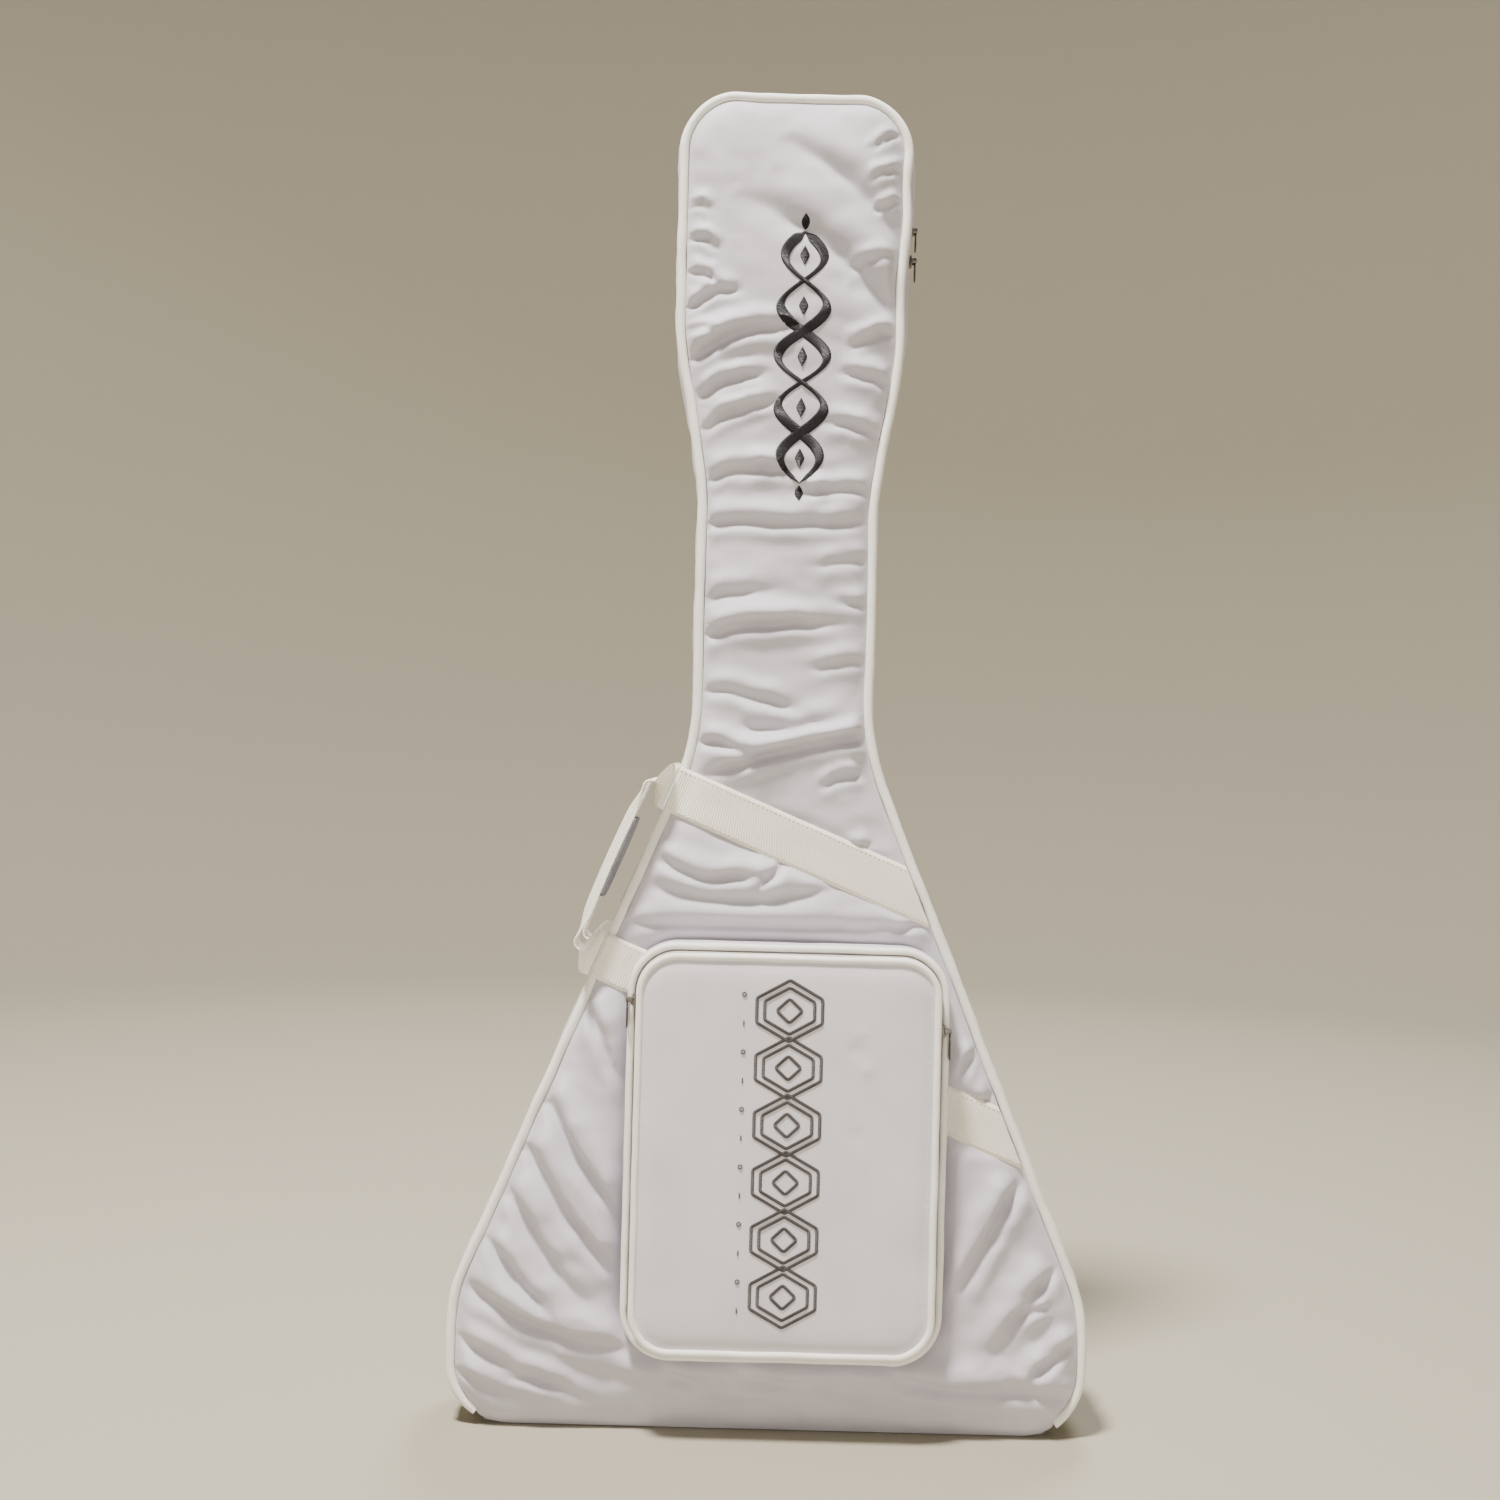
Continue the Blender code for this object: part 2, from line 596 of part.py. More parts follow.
def slider(name, place, side, half, plate_thick, ear_height, pull_length, colours):
    """A zip slider of two ears on a plate, facing +X or -X, and its hanging pull with their axis."""
    x, y, z = place
    ear = half - SLIDER_EAR
    tall = plate_thick + ear_height
    channel = ((0, -half), (tall, -half), (tall, -ear), (plate_thick, -ear), (plate_thick, ear), (tall, ear),
               (tall, half), (0, half))
    ends = (z - SLIDER_LENGTH / 2, z + SLIDER_LENGTH / 2)
    body = loft(f"{name}_slider", [[(x + side * off, y + across, height) for off, across in channel]
                                   for height in ends], colours["metal"])
    axis = Vector((x + side * (tall - PULL_THICK), y, z))
    neck = ear - GAP
    wide = PULL_WIDTH / 2
    blade = ((-neck, PULL_THICK / 2), (-neck, -PULL_NECK), (-wide, -PULL_NECK - 0.002), (-wide, 0.003 - pull_length),
             (-wide + 0.002, -pull_length), (wide - 0.002, -pull_length), (wide, 0.003 - pull_length),
             (wide, -PULL_NECK - 0.002), (neck, -PULL_NECK), (neck, PULL_THICK / 2))
    pull = loft(f"{name}_pull", [[(axis.x + off, y + across, z + height) for across, height in blade]
                                 for off in (-PULL_THICK / 2, PULL_THICK / 2)], colours["metal"])
    return body, pull, axis


def zip_end_tab(name, outline, side, colours):
    """The sewn tab that covers the end of the main zip at one base corner."""
    rings = [ring for ring in along(outline, strip(-GAP - ZIP_TAB_THICK, -GAP, -ZIP_TAB_HALF, ZIP_TAB_HALF),
                                    BASE_THICK) if ring[0][0] * side > 0 and ring[0][2] < ZIP_TAB_TOP]
    return loft(f"zip_end_tab_{name}", rings, colours["piping"])


def build():
    for item in list(bpy.data.objects):
        bpy.data.objects.remove(item)
    colours = {
        "nylon": paint("white_nylon", 0.60, 0.59, 0.58, 0.75),
        "lining": paint("grey_plush_lining", 0.16, 0.16, 0.17, 0.95),
        "piping": paint("cream_piping", 0.70, 0.66, 0.58, 0.55),
        "webbing": paint("cream_webbing", 0.62, 0.58, 0.50, 0.80),
        "zip": paint("pale_zip_tape", 0.45, 0.43, 0.40, 0.80),
        "metal": paint("gunmetal_zip_metal", 0.05, 0.045, 0.04, 0.40, 1.0),
        "black": paint("black_nylon_and_plastic", 0.02, 0.02, 0.02, 0.60),
        "grip": paint("grey_grip_wrap", 0.25, 0.25, 0.26, 0.85),
    }
    outline = bag_outline()
    front, back = shell(outline, colours)
    inner_pads(colours)
    front_bands, back_bands = bands(outline, colours)
    yoke, patch, loop, loop_axis = back_fittings(colours)
    for name, side in (("left", -1), ("right", 1)):
        swinging, tab = shoulder_strap(name, side * STRAP_X, colours)
        pivot(f"strap_pivot_{name}", strap_point(0.0, side * STRAP_X), swinging)
        zip_end_tab(name, outline, side, colours)
    pivot("hang_loop_pivot", loop_axis, [loop])

    rear_handle, rear_axis, run, out = handle("rear_handle", outline, BACK, colours)
    pivot("rear_handle_pivot", rear_axis, [rear_handle, handle_grip(rear_axis, run, out, colours)])
    front_handle, front_axis, run, out = handle("front_handle", outline, FRONT, colours)
    fixed, tipping, pocket_hinge, zip_y = pocket(outline, colours)

    flap = pivot("front_flap_pivot", (0, FRONT, BASE_THICK), front + front_bands + fixed)
    pivot("front_handle_pivot", front_axis, [front_handle], flap)
    pivot("pocket_pivot", pocket_hinge, tipping, flap)

    top = BAG_HEIGHT - SLIDERS_BELOW_TOP
    for name, height in (("main_upper", top), ("main_lower", top - SLIDER_SPACING)):
        body, pull, axis = slider(name, (HEAD_HALF + GAP, 0, height), 1, SLIDER_HALF, SLIDER_PLATE,
                                  SLIDER_EAR_HEIGHT, MAIN_PULL_LENGTH, colours)
        pivot(f"{name}_pull_pivot", axis, [pull], pivot(f"{name}_slide", (HEAD_HALF, 0, height), [body]))
    corner = POCKET_TOP - POCKET_RADIUS
    for name, side, drop in (("pocket_left", -1, LEFT_SLIDER_DROP), ("pocket_right", 1, RIGHT_SLIDER_DROP)):
        x = POCKET_OFFSET + side * (pocket_half() - POCKET_ZIP_INSET + GAP)
        body, pull, axis = slider(name, (x, zip_y, corner - drop), side, POCKET_SLIDER_HALF,
                                  POCKET_SLIDER_PLATE, POCKET_SLIDER_EAR_HEIGHT, PULL_LENGTH, colours)
        pivot(f"{name}_pull_pivot", axis, [pull], pivot(f"{name}_slide", (x, zip_y, corner - drop), [body], flap))


build()
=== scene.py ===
# Padded gig bag for a V-shaped guitar: fabric, piping, zips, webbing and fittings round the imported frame.
# Metres throughout; the bag stands along Z and its front faces -Y.
import math

import bmesh
import bpy
import numpy as np
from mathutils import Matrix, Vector, geometry


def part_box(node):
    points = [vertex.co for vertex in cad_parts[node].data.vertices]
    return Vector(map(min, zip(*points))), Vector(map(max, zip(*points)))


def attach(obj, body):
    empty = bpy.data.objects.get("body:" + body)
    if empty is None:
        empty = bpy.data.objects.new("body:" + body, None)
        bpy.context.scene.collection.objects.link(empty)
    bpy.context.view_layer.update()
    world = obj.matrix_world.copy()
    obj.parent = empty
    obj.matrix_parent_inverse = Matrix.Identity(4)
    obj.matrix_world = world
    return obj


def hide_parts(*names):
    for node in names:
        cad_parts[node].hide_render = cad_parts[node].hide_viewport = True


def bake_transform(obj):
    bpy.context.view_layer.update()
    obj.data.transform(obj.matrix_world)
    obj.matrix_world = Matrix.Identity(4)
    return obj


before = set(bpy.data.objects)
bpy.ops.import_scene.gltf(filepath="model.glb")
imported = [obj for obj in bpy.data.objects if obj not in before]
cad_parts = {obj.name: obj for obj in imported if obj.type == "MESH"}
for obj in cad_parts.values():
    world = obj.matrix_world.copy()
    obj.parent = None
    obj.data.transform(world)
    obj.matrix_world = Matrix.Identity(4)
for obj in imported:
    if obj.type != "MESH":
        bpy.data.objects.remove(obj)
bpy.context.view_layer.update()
tau = 2 * math.pi


def nodeBox(name):
    low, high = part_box(name)
    return np.array(low), np.array(high)


def spots(x, y, z):
    # three arrays or numbers as points
    return np.stack(np.broadcast_arrays(x, y, z), -1)


def smooth(t):
    t = np.clip(t, 0.0, 1.0)
    return t * t * (3 - 2 * t)


def noise(u, v, seed=0):
    # smooth value noise between -1 and 1: random heights on a unit lattice, blended by smoothstep
    table = np.random.default_rng(seed).uniform(-1, 1, (64, 64))
    iu, iv = np.floor(u).astype(int), np.floor(v).astype(int)
    fu, fv = smooth(u - iu), smooth(v - iv)
    iu, iv, ju, jv = iu % 64, iv % 64, (iu + 1) % 64, (iv + 1) % 64
    near = table[iu, iv] * (1 - fu) + table[ju, iv] * fu
    far = table[iu, jv] * (1 - fu) + table[ju, jv] * fu
    return near * (1 - fv) + far * fv


def resample(points, spacing, closed):
    # the same line with points evenly spaced along it
    points = np.asarray(points, float)
    if closed:
        points = np.vstack([points, points[:1]])
    run = np.concatenate([[0], np.cumsum(np.linalg.norm(np.diff(points, axis=0), axis=1))])
    count = max(3, int(round(run[-1] / spacing)) + 1)
    marks = np.linspace(0, run[-1], count)
    if closed:
        marks = marks[:-1]
    return np.stack([np.interp(marks, run, points[:, k]) for k in range(points.shape[1])], axis=1)


def roundedLine(corners, step=0.0015):
    # (x, z, radius) corners to a closed line whose corners are arcs tangent to both sides
    line = []
    for i, (x, z, radius) in enumerate(corners):
        corner = np.array((x, z))
        before = np.array(corners[i - 1][:2]) - corner
        after = np.array(corners[(i + 1) % len(corners)][:2]) - corner
        before, after = before / np.linalg.norm(before), after / np.linalg.norm(after)
        turn = math.pi - math.acos(float(np.clip(before @ after, -1, 1)))
        middle = before + after
        centre = corner + middle / np.linalg.norm(middle) * radius / math.cos(turn / 2)
        spoke = corner + before * radius * math.tan(turn / 2) - centre
        side = 1 if before[0] * after[1] - before[1] * after[0] < 0 else -1
        angles = side * turn * np.linspace(0, 1, max(3, int(radius * turn / step)))
        cos, sin = np.cos(angles), np.sin(angles)
        line.append(centre + np.stack([spoke[0] * cos - spoke[1] * sin, spoke[0] * sin + spoke[1] * cos], 1))
    return np.vstack(line)


def makePath(points, closed):
    # a line in X and Z with its inward normals and its running length; anticlockwise
    if closed:
        ahead, behind = np.roll(points, -1, 0), np.roll(points, 1, 0)
    else:
        ahead = np.vstack([points[1:], points[-1:]])
        behind = np.vstack([points[:1], points[:-1]])
    run = ahead - behind
    run /= np.linalg.norm(run, axis=1)[:, None]
    normal = np.stack([-run[:, 1], run[:, 0]], 1)
    length = np.concatenate([[0], np.cumsum(np.linalg.norm(np.diff(points, axis=0), axis=1))])
    return {"points": points, "inward": normal, "length": length, "closed": closed}


def openPath(closedPath, lowest):
    # the stretch of a closed path above a height, from its right end over the top to its left end
    keep = np.flatnonzero(closedPath["points"][:, 1] >= lowest)
    first = keep[np.flatnonzero(np.diff(np.concatenate([[-5], keep])) > 1)]
    order = keep if len(first) == 1 else np.concatenate([keep[keep >= first[-1]], keep[keep < first[-1]]])
    path = makePath(closedPath["points"][order], False)
    path["inward"] = closedPath["inward"][order]
    return path


def carry(path, deep, y):
    # a profile of depth inside the path and Y, both (along, round) arrays, carried along the path
    deep = np.broadcast_to(deep, (len(path["points"]), np.shape(deep)[-1]))
    y = np.broadcast_to(y, deep.shape)
    place = path["points"][:, None, :] + path["inward"][:, None, :] * deep[..., None]
    return spots(place[..., 0], y, place[..., 1])


def addMesh(name, verts, faces, uv=None):
    # faces is an (n, 3) or (n, 4) array, and uv one pair per vertex
    mesh = bpy.data.meshes.new(name)
    verts, faces = np.asarray(verts, np.float32), np.asarray(faces, np.int32)
    count, sides = faces.shape
    mesh.vertices.add(len(verts))
    mesh.vertices.foreach_set("co", verts.ravel())
    mesh.loops.add(count * sides)
    mesh.loops.foreach_set("vertex_index", faces.ravel())
    mesh.polygons.add(count)
    mesh.polygons.foreach_set("loop_start", np.arange(0, count * sides, sides, dtype=np.int32))
    if uv is not None:
        layer = mesh.uv_layers.new(name="UVMap")
        layer.data.foreach_set("uv", np.asarray(uv, np.float32)[faces.ravel()].ravel())
    mesh.update(calc_edges=True)
    mesh.validate()
    mesh.shade_smooth()
    item = bpy.data.objects.new(name, mesh)
    bpy.context.scene.collection.objects.link(item)
    return item


def gridFaces(rows, columns, wrapRows, wrapColumns):
    i = np.arange(rows if wrapRows else rows - 1)[:, None]
    j = np.arange(columns if wrapColumns else columns - 1)[None, :]
    a = i * columns + j
    b = i * columns + (j + 1) % columns
    c = ((i + 1) % rows) * columns + (j + 1) % columns
    d = ((i + 1) % rows) * columns + j
    return np.stack([a, b, c, d], -1).reshape(-1, 4)


def gridSheet(name, grid, wrapRows=False, wrapColumns=False, capped=False, flip=False):
    # a surface from a (rows, columns, 3) grid; uv is the real length along rows and columns in metres
    rows, columns = grid.shape[:2]
    along = np.concatenate([[0], np.cumsum(np.linalg.norm(np.diff(grid.mean(1), axis=0), axis=1))])
    across = np.zeros((rows, columns))
    across[:, 1:] = np.cumsum(np.linalg.norm(np.diff(grid, axis=1), axis=2), axis=1)
    uv = np.stack([np.broadcast_to(along[:, None], across.shape), across], -1).reshape(-1, 2)
    faces = gridFaces(rows, columns, wrapRows, wrapColumns)
    verts = grid.reshape(-1, 3)
    if capped:
        ring = np.arange(columns)
        caps = []
        for row, turned in ((0, True), (rows - 1, False)):
            middle = len(verts)
            verts = np.vstack([verts, grid[row].mean(0)])
            uv = np.vstack([uv, uv[row * columns:(row + 1) * columns].mean(0)])
            edge = row * columns + ring
            nextEdge = row * columns + (ring + 1) % columns
            fan = [edge, nextEdge, np.full(columns, middle)]
            if not turned:
                fan = [nextEdge, edge, np.full(columns, middle)]
            caps.append(np.stack(fan + [fan[2]], -1))
        faces = np.vstack([faces] + caps)
    item = addMixed(name, verts, faces, uv)
    if flip:
        item.data.flip_normals()
    return item


def addMixed(name, verts, faces, uv):
    # quads whose last two corners are the same point become triangles
    mesh = bpy.data.meshes.new(name)
    rows = faces.tolist()
    rows = [row[:3] if row[2] == row[3] else row for row in rows]
    mesh.from_pydata(np.asarray(verts).tolist(), [], rows)
    layer = mesh.uv_layers.new(name="UVMap")
    corner = np.zeros(len(mesh.loops), np.int32)
    mesh.loops.foreach_get("vertex_index", corner)
    layer.data.foreach_set("uv", np.asarray(uv, np.float32)[corner].ravel())
    mesh.shade_smooth()
    item = bpy.data.objects.new(name, mesh)
    bpy.context.scene.collection.objects.link(item)
    return item


def subdivide(item):
    sub = item.modifiers.new("subdivision", "SUBSURF")
    sub.levels = sub.render_levels = 1


def addPile(item, thickness):
    wall = item.modifiers.new("pile", "SOLIDIFY")
    wall.thickness = thickness
    wall.offset = -1


def editMesh(item, weld=False):
    # faces turned outwards, after doubles are merged where asked
    form = bmesh.new()
    form.from_mesh(item.data)
    if weld:
        bmesh.ops.remove_doubles(form, verts=form.verts, dist=1e-6)
    bmesh.ops.recalc_face_normals(form, faces=form.faces)
    form.to_mesh(item.data)
    form.free()
    return item


def finishPiece(item, body, material, replaced=()):
    item.data.materials.clear()
    item.data.materials.append(material)
    if body:
        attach(item, body)
    if replaced:
        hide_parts(*replaced)
    return item


def linear(text):
    values = [int(text[i:i + 2], 16) / 255 for i in (1, 3, 5)]
    return [v / 12.92 if v <= 0.04045 else ((v + 0.055) / 1.055) ** 2.4 for v in values] + [1.0]


def addNode(tree, kind, inputs=(), **settings):
    # one node with its settings, and its inputs as values or as other nodes' outputs
    node = tree.nodes.new(kind)
    for name, value in settings.items():
        setattr(node, name, value)
    for key, value in dict(inputs).items():
        if isinstance(value, bpy.types.NodeSocket):
            tree.links.new(value, node.inputs[key])
        else:
            node.inputs[key].default_value = value
    return node


def newMaterial(name, **sockets):
    material = bpy.data.materials.new(name)
    material.use_nodes = True
    shader = material.node_tree.nodes["Principled BSDF"]
    for key, value in sockets.items():
        shader.inputs[key.replace("_", " ")].default_value = value
    return material, material.node_tree, shader


def surface(tree, shader, share, dark, light, height, strength, distance):
    # colour between two hex values by a share, and a bump from a height
    tone = addNode(tree, "ShaderNodeMix", {0: share, 6: linear(dark), 7: linear(light)}, data_type="RGBA")
    tree.links.new(tone.outputs[2], shader.inputs["Base Color"])
    bump = addNode(tree, "ShaderNodeBump", {"Height": height, "Strength": strength, "Distance": distance})
    tree.links.new(bump.outputs["Normal"], shader.inputs["Normal"])
    return tone


def threads(tree, coordinate, pitchU, pitchV, axes=("X", "Y")):
    # over-and-under weave: the product of a cosine across each thread direction; a very long pitch leaves ribs
    parts = addNode(tree, "ShaderNodeSeparateXYZ", {0: coordinate})
    waves = []
    for axis, pitch in zip(axes, (pitchU, pitchV)):
        scaled = addNode(tree, "ShaderNodeMath", {0: parts.outputs[axis], 1: tau / pitch, 2: math.pi / 2},
                         operation="MULTIPLY_ADD")
        waves.append(addNode(tree, "ShaderNodeMath", {0: scaled.outputs[0]}, operation="SINE").outputs[0])
    return addNode(tree, "ShaderNodeMath", {0: waves[0], 1: waves[1]}, operation="MULTIPLY").outputs[0]


def clothMaterial(name, colour, shade, pitch, strength, roughness=0.75, sheen=0.2, uvSpace=True, axes=("X", "Y"),
                  blotch=0.06, depth=0.0004, grooveShade=None):
    # woven cloth: a weave bump at a pitch in metres, fine grain, slow changes of tone where it has been handled, and
    # painted shade in the weave's grooves when a groove colour is given
    material, tree, shader = newMaterial(name, Roughness=roughness)
    shader.inputs["Sheen Weight"].default_value = sheen
    shader.inputs["Sheen Roughness"].default_value = 0.4
    shader.inputs["Specular IOR Level"].default_value = 0.35
    place = addNode(tree, "ShaderNodeTexCoord")
    own = place.outputs["Object"]
    coordinate = place.outputs["UV"] if uvSpace else own
    weave = threads(tree, coordinate, pitch[0], pitch[1], axes)
    cloud = addNode(tree, "ShaderNodeTexNoise", {"Vector": own, "Scale": 1 / blotch, "Detail": 4.0})
    grain = addNode(tree, "ShaderNodeTexNoise", {"Vector": own, "Scale": 900.0, "Detail": 2.0})
    mix = addNode(tree, "ShaderNodeMapRange", {"Value": cloud.outputs["Fac"], "From Min": 0.35, "From Max": 0.75})
    height = addNode(tree, "ShaderNodeMath", {0: grain.outputs["Fac"], 1: 0.5, 2: weave}, operation="MULTIPLY_ADD")
    tone = surface(tree, shader, mix.outputs["Result"], colour, shade, height.outputs[0], strength, depth)
    # painted shade: where the weave dips, the colour is mixed towards the darker groove colour, standing in for the
    # shade between the ribs
    if grooveShade:
        low = addNode(tree, "ShaderNodeMapRange", {"Value": weave, "From Min": -0.2, "From Max": -1.0})
        tone = addNode(tree, "ShaderNodeMix", {0: low.outputs["Result"], 6: tone.outputs[2], 7: linear(grooveShade)},
                       data_type="RGBA")
        tree.links.new(tone.outputs[2], shader.inputs["Base Color"])
    return material


# woven 600 denier nylon with a coated back: a matt lavender white with soft sheen at the edges and a fine grid
whiteNylon = clothMaterial("oxfordNylonWhite", "#CDC9D2", "#C1BDC7", (0.0011, 0.0011), 0.22, axes=("X", "Z"),
                           uvSpace=False, roughness=0.62, sheen=0.25)
# satin-faced nylon, smoother and a shade lighter than the shell
satinNylon = clothMaterial("satinNylonWhite", "#D9D5DB", "#CFCBD2", (0.0009, 0.0009), 0.12, axes=("X", "Z"),
                           uvSpace=False, roughness=0.5, sheen=0.3)
# bias tape folded over cord: warm white, with a soft shine along the bead
pipingTape = clothMaterial("pipingTapeCream", "#FAF8F2", "#F2EEE6", (0.0018, 0.0012), 0.3, roughness=0.5, blotch=0.03)
# woven nylon webbing: cream, ribbed across the strap; ribs of 1.1 mm are drawn at 2.2 mm so that they show, with
# painted shade darkening the grooves between the ribs
webbing = clothMaterial("nylonWebbingCream", "#FFFBF1", "#F8F3E6", (0.0022, 0.4), 0.8, roughness=0.55, blotch=0.05,
                        depth=0.00022, grooveShade="#E2DCCD")
# close twill of the zip: greyer and flatter than the nylon beside it
zipTape = clothMaterial("zipTapeWhite", "#DAD7D0", "#CBC6BC", (0.0009, 0.0014), 0.5, roughness=0.7)
# cut-pile plush: dull grey with brushed patches and a strong pale edge
plush = clothMaterial("plushLiningGrey", "#7B7A7D", "#66656A", (0.0031, 0.0023), 0.7, axes=("X", "Z"), uvSpace=False,
                      roughness=0.95, sheen=0.8, blotch=0.02)
# hook and loop tape: a near-black, rough, shineless nap
blackWeb = clothMaterial("touchFastenerBlack", "#1E1D1E", "#2A292A", (0.0014, 0.0014), 1.0, roughness=0.85)
# spacer mesh over foam: mid grey with a regular knobbly net
gripFoam = clothMaterial("airMeshGrey", "#8C8B8E", "#77767B", (0.0022, 0.0022), 1.0, roughness=0.8, blotch=0.02)
# embroidery rayon: silky, with fine lines of thread across the stroke
blackThread = clothMaterial("rayonThreadBlack", "#17151A", "#242027", (0.0012, 0.2), 0.9, roughness=0.38,
                            sheen=0.1, blotch=0.02)
greyThread = clothMaterial("rayonThreadGrey", "#4B4749", "#5A5658", (0.0012, 0.2), 0.9, roughness=0.4, sheen=0.1,
                           blotch=0.02)
# twisted polyester sewing thread, a dull cream
seamThread = clothMaterial("seamThreadWhite", "#F0ECE2", "#E0DBCE", (0.0008, 0.0040), 0.5, roughness=0.5)


def enamelMaterial():
    # die-cast zinc with gunmetal enamel: dark and glossy, rubbed paler where edges stand proud
    material, tree, shader = newMaterial("gunmetalEnamel", Roughness=0.34, Metallic=0.9)
    place = addNode(tree, "ShaderNodeTexCoord")
    form = addNode(tree, "ShaderNodeNewGeometry")
    worn = addNode(tree, "ShaderNodeMapRange", {"Value": form.outputs["Pointiness"], "From Min": 0.52,
                                                "From Max": 0.62})
    scratch = addNode(tree, "ShaderNodeTexNoise", {"Vector": place.outputs["Object"], "Scale": 1400.0,
                                                   "Detail": 3.0})
    share = addNode(tree, "ShaderNodeMath", {0: worn.outputs["Result"], 1: scratch.outputs["Fac"]},
                    operation="MULTIPLY")
    surface(tree, shader, share.outputs[0], "#3A3733", "#8E8980", scratch.outputs["Fac"], 0.15, 0.0002)
    return material


def acetalMaterial():
    # moulded acetal: satin black with a fine spark-eroded grain of about half a millimetre
    material, tree, shader = newMaterial("mouldedAcetalBlack", Roughness=0.42)
    place = addNode(tree, "ShaderNodeTexCoord")
    grain = addNode(tree, "ShaderNodeTexNoise", {"Vector": place.outputs["Object"], "Scale": 2000.0, "Detail": 2.0})
    surface(tree, shader, grain.outputs["Fac"], "#141414", "#1F1E1E", grain.outputs["Fac"], 0.2, 0.0002)
    return material


gunmetal = enamelMaterial()
acetal = acetalMaterial()
print("materials made")


pipingHigh = nodeBox("back_piping")[1]
bagHeight = float(pipingHigh[2])
bagShape = {  # half width, height and radius of each corner of the outline, in metres
    "base": (0.272, 0.0, 0.055),
    "tip": (0.274, 0.1075, 0.15),
    "waist": (0.077, 0.583, 0.20),
    "neckTop": (0.077, 0.80, 0.15),
    "headStart": (0.100, 0.935, 0.15),
    "headTop": (0.100, bagHeight, 0.05),
}
shellDepth = {"front": float(nodeBox("front_panel")[0][1]), "back": float(nodeBox("back_panel")[1][1])}
pipingRadius = 0.0042
seamInset = 2 * pipingRadius
corners = list(bagShape.values())
corners = corners + [(-x, z, radius) for x, z, radius in reversed(corners)]
bagOutline = makePath(resample(roundedLine(corners), 0.003, True), True)


def inside(points, line):
    # even-odd test of many points against a closed line
    x, z = points[:, 0][:, None], points[:, 1][:, None]
    ax, az = line[:, 0], line[:, 1]
    bx, bz = np.roll(ax, -1), np.roll(az, -1)
    crosses = (az > z) != (bz > z)
    with np.errstate(divide="ignore", invalid="ignore"):
        at = ax + (z - az) / (bz - az) * (bx - ax)
    return (crosses & (x < at)).sum(1) % 2 == 1


def edgeDistance(points, line):
    # distance from many points to a closed line, and the place along it
    a, b = line, np.roll(line, -1, 0)
    side = b - a
    length = (side ** 2).sum(1)
    best = np.full(len(points), 9.0)
    where = np.zeros(len(points))
    for start in range(0, len(points), 2000):
        part = points[start:start + 2000]
        reach = part[:, None, :] - a[None]
        share = np.clip((reach * side).sum(2) / length, 0, 1)
        gap = np.linalg.norm(reach - side * share[..., None], axis=2)
        nearest = gap.argmin(1)
        best[start:start + 2000] = gap[np.arange(len(part)), nearest]
        where[start:start + 2000] = nearest
    return best, where


def fillOutline(line, spacing):
    # triangles of one size inside a closed line: its own points and a hexagonal lattice within
    low, high = line.min(0), line.max(0)
    rise = spacing * math.sqrt(3) / 2
    rows = np.arange(low[1], high[1], rise)
    columns = np.arange(low[0], high[0], spacing)
    x = columns[None, :] + (np.arange(len(rows)) % 2)[:, None] * spacing / 2
    lattice = np.stack([x, np.broadcast_to(rows[:, None], x.shape)], -1).reshape(-1, 2)
    lattice = lattice[inside(lattice, line)]
    lattice = lattice[edgeDistance(lattice, line)[0] > 0.6 * spacing]
    points = np.vstack([line, lattice])
    edges = [(i, (i + 1) % len(line)) for i in range(len(line))]
    found = geometry.delaunay_2d_cdt([Vector(p) for p in points.tolist()], edges, [], 1, 1e-6)
    verts = np.array([tuple(v) for v in found[0]])
    faces = np.array([tuple(f) for f in found[2]])
    return verts, faces


# close-woven nylon over soft foam: it hardly stretches, and it bends in short folds
clothFeel = {"quality": 7, "mass": 0.15, "air_damping": 2.0, "tension_stiffness": 25, "compression_stiffness": 25,
             "shear_stiffness": 8, "tension_damping": 10, "compression_damping": 10, "shear_damping": 8,
             "bending_damping": 1, "pin_stiffness": 1.0}


def swell(item, rest, pinned, pressure, bend, frames, cap):
    # cloth simulation: the cut fabric is larger than its frame, so pressure from the foam folds it
    start = np.zeros(len(item.data.vertices) * 3, np.float32)
    item.data.vertices.foreach_get("co", start)
    start = start.reshape(-1, 3)
    item.shape_key_add(name="frame")
    cut = item.shape_key_add(name="cut")
    cut.data.foreach_set("co", np.asarray(rest, np.float32).ravel())
    cut.value = 0.0
    group = item.vertex_groups.new(name="seam")
    for weight in np.unique(np.round(pinned, 1)):
        if weight > 0:
            group.add(np.flatnonzero(np.round(pinned, 1) == weight).tolist(), float(weight), "REPLACE")
    cloth = item.modifiers.new("cloth", "CLOTH")
    settings = cloth.settings
    for key, value in clothFeel.items():
        setattr(settings, key, value)
    settings.bending_stiffness = bend
    settings.vertex_group_mass = "seam"
    settings.rest_shape_key = cut
    settings.use_pressure = True
    settings.uniform_pressure_force = pressure
    settings.effector_weights.gravity = 0
    cloth.collision_settings.use_collision = False
    cloth.point_cache.frame_start = 1
    cloth.point_cache.frame_end = frames
    for number in range(1, frames + 1):
        bpy.context.scene.frame_set(number)
    shape = item.evaluated_get(bpy.context.evaluated_depsgraph_get()).to_mesh()
    moved = np.zeros(len(shape.vertices) * 3, np.float32)
    shape.vertices.foreach_get("co", moved)
    moved = moved.reshape(-1, 3) - start
    item.evaluated_get(bpy.context.evaluated_depsgraph_get()).to_mesh_clear()
    reach = np.linalg.norm(moved, axis=1)[:, None]
    moved = moved * np.minimum(1.0, cap / np.maximum(reach, 1e-9))
    item.modifiers.remove(cloth)
    item.shape_key_clear()
    item.vertex_groups.clear()
    bpy.context.scene.frame_set(1)
    return start + moved


